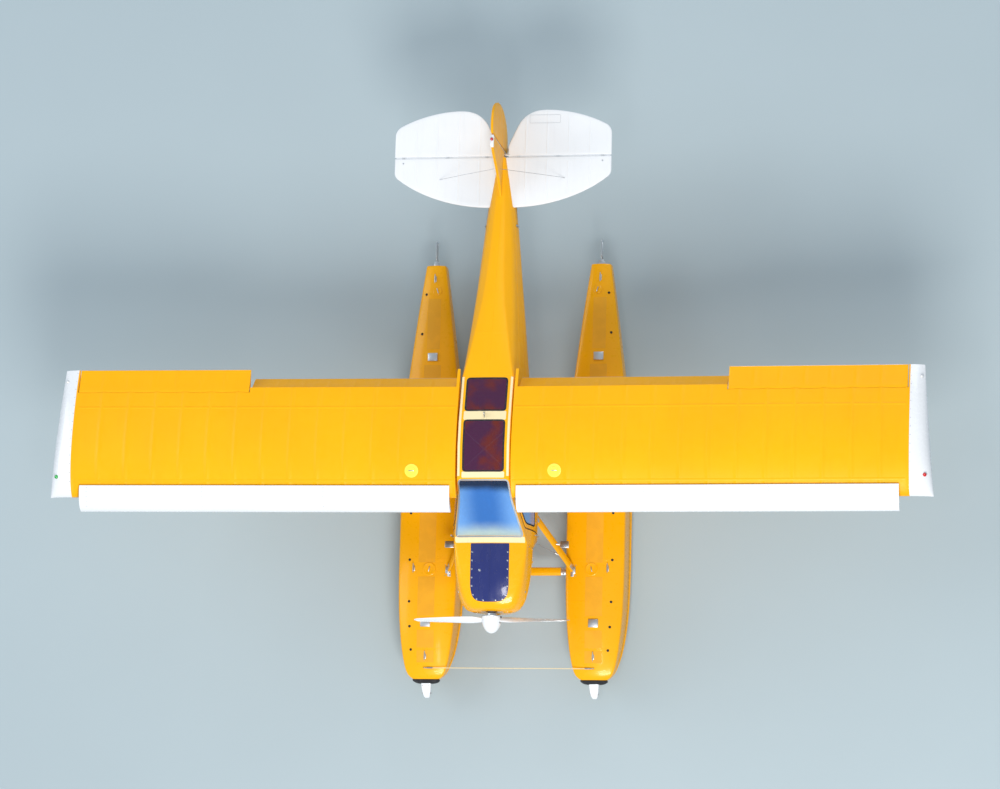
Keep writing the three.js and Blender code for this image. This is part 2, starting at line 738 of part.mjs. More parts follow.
function tipCap() {
  // share of the width, thickness, droop
  const sections = [
    [0, 1, 0],
    [0.45, 0.95, -6],
    [0.8, 0.7, -19],
    [0.95, 0.38, -27],
    [1, 0.12, -30],
  ];
  const { panel, chord, tipAtLeadingEdge, tipAtTrailingEdge } = WING;
  const rings = sections.map(([share, thickness, droop]) =>
    airfoil().map(([y, z]) => {
      const width = THREE.MathUtils.lerp(tipAtLeadingEdge, tipAtTrailingEdge, y / chord);
      const [line] = camberAndHalf(y / chord);
      return new THREE.Vector3(panel + GAP + share * width, y, line + (z - line) * thickness + droop);
    }),
  );
  return loft(rings);
}

function slat() {
  const shape = new THREE.Shape();
  shape.moveTo(111, 124);
  shape.bezierCurveTo(-20, 134, -140, 78, -154, -5);
  shape.quadraticCurveTo(-158, -38, -142, -44);
  shape.quadraticCurveTo(-126, -48, -118, -34);
  shape.bezierCurveTo(-95, 40, 0, 100, 111, 119);
  const blade = acrossX(shape, SLAT.from, SLAT.to, 8);
  const outline = [
    [-112, -42],
    [-20, -52],
    [70, -30],
    [70, 66],
    [20, 92],
    [-80, 50],
  ];
  const nose = insetOutline(airfoil(), -GAP);
  const brackets = SLAT.brackets.map((x) => acrossX(outline, x, x + SLAT.bracketWidth));
  return union([blade, ...brackets]).subtract(acrossX(nose, -10, WING.panel));
}

// Floats: at each station the height of the keel, the chine and its half width, the deck edge and
// its half width, and the height of the deck's crown.
const FOREBODY = [
  // station, keelZ, chineZ, chineW, edgeZ, edgeW, crownZ
  [0, 335, 372, 150, 425, 160, 446],
  [60, 262, 328, 204, 452, 214, 480],
  [180, 175, 272, 246, 472, 252, 508],
  [400, 88, 212, 290, 490, 288, 534],
  [700, 28, 170, 324, 500, 316, 552],
  [1050, 3, 152, 338, 505, 330, 560],
  [1350, 0, 148, 340, 505, 332, 562],
  [FLOAT.step, 0, 148, 340, 505, 332, 562],
];
const AFTERBODY = [
  [FLOAT.step - 10, 65, 206, 338, 505, 332, 562],
  [2900, 122, 240, 324, 505, 322, 560],
  [3300, 168, 270, 296, 503, 294, 556],
  [3700, 215, 302, 250, 500, 248, 548],
  [4200, 280, 345, 188, 495, 186, 538],
  [FLOAT.length, 350, 392, 118, 488, 112, 520],
];

function floatRing([station, keel, chineZ, chineW, edgeZ, edgeW, crownZ]) {
  const rise = crownZ - edgeZ;
  const keelZ = Math.max(keel, 0);
  const half = [
    [FLOAT.keelHalf, keelZ],
    [chineW * 0.6, keelZ + (chineZ - keelZ) * 0.52],
    [chineW, chineZ],
    [edgeW, edgeZ],
    [edgeW * 0.7, edgeZ + rise * 0.55],
    [edgeW * 0.36, edgeZ + rise * 0.88],
    [0, crownZ],
  ];
  return wholeRing(softened(half, [0, 0, 0, 34, 0, 0, 0]), station);
}

const LUGS = [
  // bottom, top of each rudder lug on the transom
  [380, 392],
  [478, 490],
];
const POST_STATION = FLOAT.length + 30;

// What stands on each deck: cleats by station and distance from the middle, and hatch lids by
// station and radius.
const CLEATS = [
  [250, 0],
  [1235, 150],
  [2610, 150],
  [4560, 0],
];
const CLEAT = { half: 52, thick: 7, height: 30, posts: [-14, 14] };
const HATCHES = [
  [1225, 74],
  [2620, 74],
  [4420, 50],
];
const HATCH = { x: -30, proud: 8 };

function deckAt(station, x) {
  const [, , , , edgeZ, edgeW, crownZ] = rowAt(station < FLOAT.step ? FOREBODY : AFTERBODY, station);
  return crownZ - (crownZ - edgeZ) * (x / edgeW) ** 2;
}

function deckFittings() {
  const cleats = CLEATS.flatMap(([station, x]) => {
    const deck = deckAt(station, x);
    const { half, thick, height, posts } = CLEAT;
    return [
      box(x - thick, x + thick, station - half, station + half, deck + height - 2 * thick, deck + height),
      ...posts.map((aft) =>
        box(x - thick, x + thick, station + aft - thick, station + aft + thick, deck - 20, deck + height - 1),
      ),
    ];
  });
  const lids = HATCHES.map(([station, radius]) => {
    const deck = deckAt(station, HATCH.x);
    return cylinder(radius, HATCH.proud + 30, "z", HATCH.x, station, deck + (HATCH.proud - 30) / 2, 20);
  });
  return [...cleats, ...lids];
}

function floatBody() {
  const pads = PADS.map((station) => box(-55, 55, station - 45, station + 45, 500, 568));
  const lugs = LUGS.map(([z0, z1]) => box(-26, 26, FLOAT.length - 20, POST_STATION + 24, z0, z1));
  const body = union([
    loft(refined(FOREBODY, 2).map(floatRing)),
    loft(AFTERBODY.map(floatRing)),
    ...deckFittings(),
    ...pads,
    ...lugs,
  ]);
  return moved(body, FLOAT.centre, 0, 0);
}

function bowBumper() {
  const shape = new THREE.Shape();
  shape.moveTo(150, -GAP);
  shape.lineTo(150, -14);
  shape.quadraticCurveTo(130, -44, 60, -46);
  shape.lineTo(-60, -46);
  shape.quadraticCurveTo(-130, -44, -150, -14);
  shape.lineTo(-150, -GAP);
  shape.closePath();
  return moved(upZ(shape, 352, 432), FLOAT.centre, 0, 0);
}

function bowFitting() {
  // station, half width, bottom, top
  const sections = [
    [-46 - GAP, 56, 352, 424],
    [-110, 50, 330, 396],
    [-170, 38, 312, 360],
    [BOW_FITTING, 22, 306, 330],
  ];
  const rings = sections.map(([station, half, z0, z1]) => [
    new THREE.Vector3(half, station, z0),
    new THREE.Vector3(half, station, z1),
    new THREE.Vector3(-half, station, z1),
    new THREE.Vector3(-half, station, z0),
  ]);
  const eye = cylinder(15, 200, "x", 0, -150, 350, 16);
  return moved(loft(rings).subtract(eye), FLOAT.centre, 0, 0);
}

function waterRudder() {
  const [low, high] = [LUGS[0][1] + GAP, LUGS[1][0] - GAP];
  const blade = [
    [POST_STATION, low + 22],
    [POST_STATION + 60, low + 10],
    [POST_STATION + 235, low + 4],
    [POST_STATION + 262, low + 60],
    [POST_STATION + 240, high + 62],
    [POST_STATION + 70, high + 40],
    [POST_STATION + 40, high - 6],
    [POST_STATION, high - 6],
  ];
  const made = union([
    cylinder(13, high - low, "z", 0, POST_STATION, (low + high) / 2, 16),
    acrossX(blade, -4, 4),
  ]);
  return moved(made, FLOAT.centre, 0, 0);
}

// Where the float struts and spreader bars meet the floats and the fuselage.
const FITTINGS = {
  floatX: 715,
  front: 1215,
  rear: 2600,
  deckZ: 520,
  bodyFront: [352, 1750, 1140],
  bodyRear: [318, 2640, 1180],
  buried: 40, // length of a strut inside the hull, before it is trimmed
};

const STEP = { share: 0.52, reach: 150, plate: [-42, 30], rise: 10 };

function floatStruts(floatSolid) {
  const { floatX, front, rear, deckZ, bodyFront, bodyRear, buried } = FITTINGS;
  const low = (station) => [floatX, station, deckZ];
  const leg = (from, to, chord, thickness) => strut(backFrom(from, to, buried), to, chord, thickness);
  const [x, y, z] = bodyFront.map((value, i) => value + (low(front)[i] - value) * STEP.share);
  const made = union([
    leg(bodyFront, low(front), 86, 32),
    leg(bodyFront, low(rear), 62, 26),
    leg(bodyRear, low(rear), 86, 32),
    strut([x, y, z], [x + STEP.reach, y, z], 24, 22, 8),
    box(x + 60, x + STEP.reach, y + STEP.plate[0], y + STEP.plate[1], z, z + STEP.rise),
    cylinder(26, 60, "x", bodyFront[0], bodyFront[1], 1118, 16),
    box(floatX - 34, floatX + 34, front - 70, front + 70, deckZ, 556),
    box(floatX - 34, floatX + 34, rear - 70, rear + 70, deckZ, 556),
  ]);
  return clearOf(clearOf(made, hull, 0, 0, -GAP), floatSolid, 0, 0, GAP);
}

function spreader(station, floatSolid) {
  const bar = strut([-FITTINGS.floatX, station, 440], [FITTINGS.floatX, station, 440], 92, 44);
  const cut = clearOf(bar, floatSolid, -GAP, 0, 0);
  return clearOf(cut, mirrored(floatSolid), GAP, 0, 0);
}

function braceWires(station, bodyPoint, floatSolid) {
  const wire = (side) =>
    strut(
      [side * 250, bodyPoint[1], bodyPoint[2]],
      [-side * 655, station + (station < 2000 ? 120 : -120), 500],
      12,
      9,
      4,
    );
  const made = wire(1).add(wire(-1));
  const below = clearOf(made, hull, 0, 0, -GAP);
  return clearOf(clearOf(below, floatSolid, 0, 0, GAP), mirrored(floatSolid), 0, 0, GAP);
}

const LIFT_STRUT = {
  body: [392, 2440, 1150],
  x: 2400,
  frontSpar: 360,
  rearSpar: 1010,
  jury: 0.5,
};

function wingStruts(wingSolid) {
  const { body, x, frontSpar, rearSpar, jury } = LIFT_STRUT;
  const inside = -10; // ends are trimmed to the wing's underside
  const front = onWing(x, frontSpar, inside);
  const rear = onWing(x, rearSpar, inside);
  const part = (to, share) => body.map((value, i) => value + (to[i] - value) * share);
  const [frontMid, rearMid] = [part(front, jury), part(rear, jury)];
  const up = (mid, chordwise) => onWing((mid[0] - WING.root) * 0.98, chordwise, inside);
  const made = union([
    strut(body, front, 76, 30),
    strut(body, rear, 62, 26),
    strut(frontMid, rearMid, 24, 24, 8),
    strut(frontMid, up(frontMid, frontSpar), 24, 18, 8),
    strut(rearMid, up(rearMid, rearSpar), 24, 18, 8),
    strut([300, 2440, 1150], [440, 2440, 1150], 110, 60),
  ]);
  const below = clearOf(made, placed(wingSolid, wingFrame.matrix), 0, 0, -GAP);
  return clearOf(below, hull, GAP, 0, 0).subtract(moved(hull, 0, 0, -GAP));
}

// The tail surfaces, flat frames with rounded edges.
function tailPlate(shape, curveSegments = 8) {
  const edge = 9;
  const geometry = new THREE.ExtrudeGeometry(shape, {
    depth: 2 * (TAIL.half - edge),
    bevelEnabled: true,
    bevelThickness: edge,
    bevelSize: edge,
    bevelOffset: -edge,
    bevelSegments: 2,
    curveSegments,
  });
  return moved(solid(geometry), 0, 0, -(TAIL.half - edge));
}

function stabiliser() {
  const shape = new THREE.Shape();
  shape.moveTo(20, TAIL.hinge - 30);
  shape.lineTo(20, 5100);
  shape.lineTo(150, 5104);
  shape.bezierCurveTo(560, 5112, 940, 5250, 1180, 5440);
  shape.quadraticCurveTo(1220, 5474, 1220, 5520);
  shape.lineTo(1220, TAIL.hinge - 30);
  shape.closePath();
  const plate = moved(tailPlate(shape), 0, 0, TAIL.z);
  const wider = fuselageLoft(TAIL_CONE, -GAP, CABIN_END, TAIL_CONE.at(-1)[0] + 20);
  return plate.subtract(wider);
}

function elevator() {
  const shape = new THREE.Shape();
  const front = TAIL.hinge - 15;
  shape.moveTo(62, front);
  shape.lineTo(1220, front);
  shape.lineTo(1220, 5930);
  shape.quadraticCurveTo(1220, 5998, 1160, 6040);
  shape.bezierCurveTo(980, 6140, 720, TAIL_END, 480, TAIL_END);
  shape.bezierCurveTo(330, TAIL_END, 232, 6150, 176, 6050);
  shape.quadraticCurveTo(110, 5920, 62, 5800);
  shape.closePath();
  const half = tailPlate(shape);
  const tube = cylinder(TAIL.tube, 200, "x", 0, TAIL.hinge, 0, 16);
  return moved(union([half, mirrored(half), tube]), 0, 0, TAIL.z);
}

// A flat shape in station and height, standing on the middle of the plane.
const upright = (made) =>
  made.transform(
    new THREE.Matrix4()
      .makeBasis(
        new THREE.Vector3(0, 1, 0),
        new THREE.Vector3(0, 0, 1),
        new THREE.Vector3(1, 0, 0),
      )
      .toArray(),
  );

const FIN_TOP = 2415;

function fin() {
  const coneEnd = TAIL_CONE.at(-1)[0];
  const shape = new THREE.Shape();
  shape.moveTo(TAIL_POST + 10, TAIL.z - 45);
  shape.lineTo(TAIL_POST + 10, FIN_TOP);
  shape.lineTo(TAIL_POST - 60, FIN_TOP);
  shape.quadraticCurveTo(TAIL_POST - 120, FIN_TOP - 5, TAIL_POST - 160, FIN_TOP - 60);
  shape.bezierCurveTo(5480, 2190, 5400, 1930, 5180, 1780);
  shape.lineTo(5180, 1740);
  shape.lineTo(coneEnd - 20, 1720);
  shape.lineTo(coneEnd - 20, TAIL.z - 45);
  shape.closePath();
  const bearing = cylinder(TAIL.tube * 1.05, 300, "x", 0, TAIL.hinge, TAIL.z, 16);
  const low = TAIL.rudderBottom - 25;
  const post = cylinder(15, FIN_TOP - low, "z", 0, TAIL_POST, (FIN_TOP + low) / 2 - 5, 16);
  const shoe = box(-14, 14, coneEnd - 105, TAIL_POST, low - 5, low + 50);
  const heel = box(-12, 12, TAIL_POST, TAIL.rudderHinge + 13, low - 5, low + 8);
  const bossLength = TAIL.rudderBottom - GAP - low;
  const boss = cylinder(9, bossLength, "z", 0, TAIL.rudderHinge, low + bossLength / 2, 16);
  const wider = fuselageLoft(TAIL_CONE, -GAP, CABIN_END, coneEnd + GAP);
  const plate = upright(tailPlate(shape)).subtract(bearing);
  return union([plate, post, shoe, heel, boss]).subtract(wider);
}

function rudder() {
  const front = TAIL.rudderHinge - 16;
  const shape = new THREE.Shape();
  shape.moveTo(front, TAIL.rudderBottom);
  shape.lineTo(front, FIN_TOP + 8);
  shape.bezierCurveTo(front + 90, FIN_TOP + 62, 6060, FIN_TOP + 30, 6130, 2290);
  shape.bezierCurveTo(6230, 2100, 6235, 1850, 6120, 1640);
  shape.quadraticCurveTo(6020, TAIL.rudderBottom + 15, front + 60, TAIL.rudderBottom);
  shape.closePath();
  return upright(tailPlate(shape));
}

function tailStrut(stabiliserSolid) {
  const made = union([
    strut([20, 5430, 1500], [700, 5430, TAIL.z], 34, 16, 8),
    strut([20, 5430, 1500], [60, 5430, 1510], 60, 26, 8),
  ]);
  const below = clearOf(made, stabiliserSolid, 0, 0, -GAP);
  return below.subtract(fuselageLoft(TAIL_CONE, -GAP, CABIN_END, TAIL_CONE.at(-1)[0]));
}

// The whole plane.
const plane = new THREE.Group();
plane.position.y = -MIDDLE;

add(plane, "cabin_shell", cabin(), "yellow");
add(plane, "tail_cone", coneHull, "yellow");
glassPanes(plane);
cowl(plane);
engine(plane);
propeller(plane);
add(
  plane,
  "instrument_panel",
  acrossX(INSTRUMENT_BOARD, -FAR, FAR).intersect(furnishingRoom),
  "dark",
);
add(plane, "cabin_frame", cabinFrame(), "metal");
add(plane, "fin", fin(), "yellow");
add(plane, "rudder", rudder(), "yellow");
add(plane, "elevator", elevator(), "white");

const parts = {
  wing: wingPanel(),
  float: floatBody(),
  stabiliser: stabiliser(),
  door: door(),
  seat: acrossX(SEAT, ...SEAT_X).intersect(furnishingRoom),
};
add(plane, "spreader_bar_front", spreader(FITTINGS.front, parts.float), "metal");
add(plane, "spreader_bar_rear", spreader(FITTINGS.rear, parts.float), "metal");
add(plane, "brace_wires_front", braceWires(FITTINGS.front, FITTINGS.bodyFront, parts.float), "metal");
add(plane, "brace_wires_rear", braceWires(FITTINGS.rear, FITTINGS.bodyRear, parts.float), "metal");

for (const side of ["left", "right"]) {
  const half = new THREE.Group();
  half.scale.x = side === "left" ? 1 : -1;
  plane.add(half);

  const wing = wingFrame.clone();
  half.add(wing);
  add(wing, "wing_" + side, parts.wing, "yellow");
  add(wing, "wing_tip_" + side, tipCap(), "white");
  add(wing, "slat_" + side, slat(), "white");
  const flap = add(wing, "flap_" + side, controlSurface(FLAP), "yellow");
  flap.position.set(0, HINGE, FLAP.hingeZ);
  flap.rotation.x = -radians(FLAP.down);
  const aileron = add(wing, "aileron_" + side, controlSurface(AILERON), "yellow");
  aileron.position.set(0, HINGE, AILERON.hingeZ);

  add(half, "wing_strut_" + side, wingStruts(parts.wing), "yellow");
  add(half, "float_" + side, parts.float, "yellow");
  add(half, "bow_bumper_" + side, bowBumper(), "rubber");
  add(half, "bow_fitting_" + side, bowFitting(), "white");
  add(half, "float_strut_" + side, floatStruts(parts.float), "yellow");
  add(half, "water_rudder_" + side, waterRudder(), "metal");
  add(half, "door_" + side, parts.door, "yellow");
  add(half, "door_window_" + side, sidePane(DOOR_WINDOW), "glass");
  add(half, "rear_window_" + side, sidePane(REAR_WINDOW), "glass");
  add(half, "seat_" + side, parts.seat, "seat");
  add(half, "stabiliser_" + side, parts.stabiliser, "white");
  add(half, "tail_strut_" + side, tailStrut(parts.stabiliser), "metal");
}

export default plane;
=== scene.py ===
"""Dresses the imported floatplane. Lengths are millimetres until a piece is finished."""

import math

import bmesh
import bpy
from bpy.props import FloatProperty, FloatVectorProperty, PointerProperty
from mathutils import Matrix, Vector
from mathutils.bvhtree import BVHTree


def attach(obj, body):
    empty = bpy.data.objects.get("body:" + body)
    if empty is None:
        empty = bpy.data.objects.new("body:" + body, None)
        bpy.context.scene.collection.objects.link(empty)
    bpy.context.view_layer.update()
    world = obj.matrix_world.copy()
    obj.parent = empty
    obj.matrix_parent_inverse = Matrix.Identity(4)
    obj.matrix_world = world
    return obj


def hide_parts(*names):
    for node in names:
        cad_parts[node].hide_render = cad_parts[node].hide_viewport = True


bl_info = {
    "name": "Floatplane",
    "version": (1, 0, 0),
    "blender": (4, 5, 0),
    "location": "View3D > Sidebar > Floatplane",
    "description": "Skins, glazing, fittings and finishes of a two-seat floatplane",
    "category": "Object",
}

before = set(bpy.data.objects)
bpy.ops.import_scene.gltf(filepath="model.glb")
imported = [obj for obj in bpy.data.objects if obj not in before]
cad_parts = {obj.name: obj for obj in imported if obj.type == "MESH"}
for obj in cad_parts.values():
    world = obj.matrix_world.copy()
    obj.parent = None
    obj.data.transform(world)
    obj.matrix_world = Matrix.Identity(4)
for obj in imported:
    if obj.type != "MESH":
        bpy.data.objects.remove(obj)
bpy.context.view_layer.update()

# The plane's frame: stations run aft from the float bows, and the middle of the box is the origin.
MIDDLE = 3007
TO_METRES = Matrix.Scale(0.001, 4) @ Matrix.Translation((0, -MIDDLE, 0))
SIDES = {"left": 1, "right": -1}
UP, DOWN = (0, 0, 1), (0, 0, -1)

WING = {"chord": 1427, "thickness": 0.15, "camber": 0.04, "camber_at": 0.4, "start": 14, "panel": 4270}
WING_ROOT = (290, 1753, 2330)
WING_FRAME = (
    Matrix.Translation(WING_ROOT)
    @ Matrix.Rotation(math.radians(-1), 4, "Y")
    @ Matrix.Rotation(math.radians(-2.5), 4, "X")
)
HINGE = WING["chord"] * 0.82
FLAP = {"from": 55, "to": 2316, "z": 23, "nose": 30, "lip": 1215, "down": 38}
AILERON = {"from": 2336, "to": 4245, "z": 29, "nose": 39}
# The bays cut for them: where the flap's starts, where the two meet and where the aileron's ends.
BAYS = (FLAP["from"] - 10, (FLAP["to"] + AILERON["from"]) / 2, AILERON["to"] + 10)
SLAT = {"from": 75, "to": 4165, "brackets": (150, 1450, 2790, 4080)}
TAIL = {"z": 1700, "half": 17, "hinge": 5705, "rudder_hinge": 5787, "rudder_bottom": 1475}
TAIL_HINGES = (180, 620, 1120)
TAIL_POST = 5745
FIN_TOP = 2415
TAIL_END = 6214


def colour_setting(name, description, default):
    return FloatVectorProperty(
        name=name, description=description, subtype="COLOR", size=3, min=0, max=1, default=default,
    )


def length_setting(name, description, default, least=0.0):
    return FloatProperty(name=name, description=description, unit="LENGTH", default=default, min=least)


class PaintSettings(bpy.types.PropertyGroup):
    yellow: colour_setting("Yellow", "Wings, fuselage, floats and rudder", (0.95, 0.43, 0.0015))
    white: colour_setting("White", "Slats, wing tips, tailplane and spinner", (0.8, 0.81, 0.83))
    dark: colour_setting("Dark panel", "Anti-glare panel on top of the cowl", (0.008, 0.016, 0.13))
    cream: colour_setting("Cream", "Strips at the windscreen and the wing roots", (0.88, 0.72, 0.42))
    # The filler caps are real, but their pale yellow is a painted highlight that stands in for the glint on
    # a cap.
    filler: colour_setting("Filler cap", "Fuel filler plates and caps", (0.98, 0.8, 0.09))
    clear: colour_setting("Clear glazing", "Tint of the windscreen and side windows", (0.045, 0.2, 0.6))
    smoked: colour_setting("Smoked glazing", "Tint of the roof panes", (0.07, 0.008, 0.05))
    seat: colour_setting("Seats", "Leather of the seats", (0.24, 0.03, 0.025))


class CoveringSettings(bpy.types.PropertyGroup):
    rib_pitch: length_setting("Rib pitch", "Distance between wing ribs", 0.305, 0.1)
    sag: length_setting("Sag", "How far the fabric dips between ribs", 0.0032)
    tape: length_setting("Tape width", "Width of the tape over each rib", 0.026, 0.005)


class RivetSettings(bpy.types.PropertyGroup):
    pitch: length_setting("Pitch", "Distance between rivets in a row", 0.045, 0.02)
    radius: length_setting("Radius", "Radius of a rivet head", 0.0035, 0.001)


class StageSettings(bpy.types.PropertyGroup):
    camera: FloatVectorProperty(
        name="Camera", description="Where the camera hangs over the plane", subtype="TRANSLATION",
        unit="LENGTH", size=3, default=(6.96, -7.37, 41.26),
    )
    target: FloatVectorProperty(
        name="Target", description="The point that the camera looks at", subtype="TRANSLATION",
        unit="LENGTH", size=3, default=(0.0, 0.03, 1.5),
    )
    lens: FloatProperty(name="Lens", description="Focal length in millimetres", default=134, min=20)
    floor: colour_setting("Floor", "Colour of the floor", (0.40, 0.47, 0.5))
    key: FloatProperty(
        name="Key light", description="Power of the main light", unit="POWER", default=3600, min=0,
    )


# Surfaces: each finish is one Principled shader, and its pattern is written as arithmetic on sockets.
class Value:
    """An output of a shader node. Arithmetic on it adds Math nodes."""

    def __init__(self, surface, socket):
        self.surface = surface
        self.socket = socket

    def math(self, operation, first, second=0.0):
        return self.surface.node("ShaderNodeMath", {"operation": operation}, {0: first, 1: second})

    def output(self, name):
        return Value(self.surface, self.socket.node.outputs[name])

    def __add__(self, other):
        return self.math("ADD", self, other)

    def __radd__(self, other):
        return self.math("ADD", other, self)

    def __sub__(self, other):
        return self.math("SUBTRACT", self, other)

    def __rsub__(self, other):
        return self.math("SUBTRACT", other, self)

    def __mul__(self, other):
        return self.math("MULTIPLY", self, other)

    def __rmul__(self, other):
        return self.math("MULTIPLY", other, self)

    def __truediv__(self, other):
        return self.math("DIVIDE", self, other)

    def __pow__(self, other):
        return self.math("POWER", self, other)

    def __abs__(self):
        return self.math("ABSOLUTE", self)


class Surface:
    """A finish in the making: one Principled shader and what feeds it."""

    def __init__(self, name, **constants):
        self.material = bpy.data.materials.new(name)
        self.material.use_nodes = True
        self.tree = self.material.node_tree
        self.shader = self.tree.nodes["Principled BSDF"]
        for socket, value in constants.items():
            self.feed(self.shader.inputs[socket.replace("_", " ")], value)

    def feed(self, socket, value):
        if isinstance(value, Value):
            self.tree.links.new(value.socket, socket)
        else:
            socket.default_value = value

    def node(self, kind, settings, values, output=0):
        made = self.tree.nodes.new(kind)
        for key, value in settings.items():
            setattr(made, key, value)
        for key, value in values.items():
            self.feed(made.inputs[key], value)
        return Value(self, made.outputs[output])

    def place(self, stretch=(1, 1, 1)):
        where = self.node("ShaderNodeTexCoord", {}, {}, "Object")
        return self.node("ShaderNodeVectorMath", {"operation": "MULTIPLY"}, {0: where, 1: stretch})

    def noise(self, scale, detail=3, stretch=(1, 1, 1)):
        values = {"Vector": self.place(stretch), "Scale": scale, "Detail": detail}
        return self.node("ShaderNodeTexNoise", {}, values)

    def threads(self, scale, direction):
        settings = {"wave_type": "BANDS", "bands_direction": direction}
        return self.node("ShaderNodeTexWave", settings, {"Vector": self.place(), "Scale": scale}, "Fac")

    def along(self, axis):
        return self.node("ShaderNodeSeparateXYZ", {}, {0: self.place()}, axis)

    def ramp(self, value, low, high, start=0.0, end=1.0):
        values = {"Value": value, "From Min": low, "From Max": high, "To Min": start, "To Max": end}
        return self.node("ShaderNodeMapRange", {"interpolation_type": "SMOOTHSTEP"}, values)

    def mix(self, share, first, second):
        return self.node("ShaderNodeMix", {"data_type": "RGBA"}, {0: share, 6: first, 7: second}, 2)

    def colour(self, value):
        self.feed(self.shader.inputs["Base Color"], value)

    def roughness(self, value):
        self.feed(self.shader.inputs["Roughness"], value)

    def metallic(self, value):
        self.feed(self.shader.inputs["Metallic"], value)

    def bump(self, height, distance):
        values = {"Height": height, "Strength": 1.0, "Distance": distance}
        self.feed(self.shader.inputs["Normal"], self.node("ShaderNodeBump", {}, values))


def rgba(colour, gain=1.0):
    return (*[channel * gain for channel in colour[:3]], 1.0)


def tinted(colour):
    """The colour of a paint's own gloss, between its shade and white."""
    most = max(colour[:3])
    return (*[0.35 + 0.65 * channel / most for channel in colour[:3]], 1.0)


def sheet_paint(name, colour, roughness=0.3, tide=False):
    """Gloss paint on riveted sheet: soft dents, orange peel, faded patches, and a tide line on a hull."""
    made = Surface(name, Coat_Weight=0.22, Coat_Roughness=0.12, Specular_Tint=tinted(colour))
    patches = made.noise(1.1, 4)
    shade = made.mix(made.ramp(patches, 0.35, 0.7), rgba(colour), rgba(colour, 0.93))
    dust = made.ramp(made.noise(9.0, 5, (1, 0.4, 1)), 0.55, 0.8) * 0.35
    rough = made.ramp(made.noise(24.0, 4), 0.3, 0.7, roughness - 0.06, roughness + 0.09) + dust * 0.2
    if tide:
        height = made.along("Z") + made.noise(3.0, 4) * 0.05
        streaks = made.ramp(made.noise(40.0, 5, (1, 1, 0.15)), 0.3, 0.7)
        scum = made.ramp(height, 0.33, 0.22) * (streaks * 0.45 + 0.25)
        shade = made.mix(scum * 0.5, shade, (0.25, 0.16, 0.05, 1))
        scuff = made.ramp(height, 0.07, 0.03) * made.ramp(made.noise(60.0, 4, (1, 0.1, 1)), 0.45, 0.6)
        shade = made.mix(scuff, shade, (0.5, 0.5, 0.5, 1))
        made.metallic(scuff * 0.9)
        rough = rough + scum * 0.3
    made.colour(shade)
    made.roughness(rough)
    made.bump(made.noise(2.6, 2) * 0.8 + made.noise(320.0, 1) * 0.05, 0.003)
    return made.material


def doped_fabric(name, colour):
    """Doped and painted cloth: a fine weave under satin paint, a little faded from the sun."""
    made = Surface(name, Coat_Weight=0.04, Coat_Roughness=0.3, Specular_Tint=tinted(colour))
    shade = made.mix(made.ramp(made.noise(0.8, 3), 0.35, 0.7), rgba(colour), rgba(colour, 0.94))
    streaks = made.ramp(made.noise(5.0, 5, (3, 0.35, 1)), 0.5, 0.85)
    made.colour(made.mix(streaks * 0.25, shade, rgba(colour, 0.8)))
    made.roughness(made.ramp(made.noise(14.0, 4), 0.3, 0.7, 0.36, 0.5))
    weave = made.threads(95.0, "X") * made.threads(95.0, "Y")
    made.bump(weave * 0.07 + made.noise(180.0, 2) * 0.12 + made.noise(4.0, 2) * 0.9, 0.0022)
    return made.material


def gel_coat(name, colour):
    """Moulded composite: smooth gel coat with faint print-through and hairline scratches."""
    made = Surface(name, Coat_Weight=0.35, Coat_Roughness=0.08, Specular_Tint=tinted(colour))
    scratches = made.ramp(made.noise(70.0, 4, (0.12, 1, 1)), 0.62, 0.72)
    shade = made.mix(made.ramp(made.noise(1.5, 3), 0.35, 0.7), rgba(colour), rgba(colour, 0.95))
    made.colour(made.mix(scratches * 0.12, shade, rgba(colour, 0.7)))
    made.roughness(made.ramp(made.noise(18.0, 3), 0.3, 0.7, 0.2, 0.32) + scratches * 0.15)
    made.bump(made.noise(3.5, 2) * 0.6 + made.noise(140.0, 2) * 0.06, 0.0025)
    return made.material


def dark_paint(name, colour):
    made = Surface(name, Coat_Weight=0.7, Coat_Roughness=0.06)
    bugs = made.ramp(made.noise(55.0, 2), 0.68, 0.74)
    made.colour(made.mix(bugs * 0.4, rgba(colour), (0.14, 0.12, 0.1, 1)))
    made.roughness(made.ramp(made.noise(12.0, 5, (1, 0.3, 1)), 0.3, 0.75, 0.16, 0.36))
    made.bump(made.noise(2.5, 2) * 0.6 + made.noise(260.0, 1) * 0.04, 0.003)
    return made.material


def aluminium(name, colour=(0.62, 0.64, 0.66), roughness=0.34):
    made = Surface(name, Metallic=1.0)
    rolled = made.noise(60.0, 4, (1, 0.06, 1))
    dull = made.ramp(made.noise(7.0, 5), 0.45, 0.75)
    made.colour(made.mix(dull * 0.6, rgba(colour), rgba(colour, 0.62)))
    made.roughness(rolled * 0.14 + dull * 0.16 + (roughness - 0.08))
    made.bump(rolled * 0.2 + made.noise(240.0, 2) * 0.1, 0.001)
    return made.material


def iron(name):
    made = Surface(name, Metallic=0.6)
    oil = made.ramp(made.noise(11.0, 4), 0.4, 0.7)
    made.colour(made.mix(oil, (0.1, 0.1, 0.105, 1), (0.045, 0.035, 0.03, 1)))
    made.roughness(oil * -0.3 + 0.72)
    made.bump(made.noise(260.0, 3), 0.0012)
    return made.material


def hot_steel(name):
    """Exhaust steel, blued by heat near the port and sooty at the end."""
    made = Surface(name, Metallic=0.95)
    height = made.along("Z") + made.noise(20.0, 3) * 0.04
    straw = made.mix(made.ramp(height, 1.25, 1.4), (0.42, 0.3, 0.2, 1), (0.2, 0.2, 0.34, 1))
    made.colour(made.mix(made.ramp(height, 1.19, 1.13), straw, (0.05, 0.045, 0.04, 1)))
    made.roughness(made.ramp(made.noise(40.0, 4), 0.3, 0.7, 0.35, 0.6))
    made.bump(made.noise(90.0, 3), 0.0006)
    return made.material


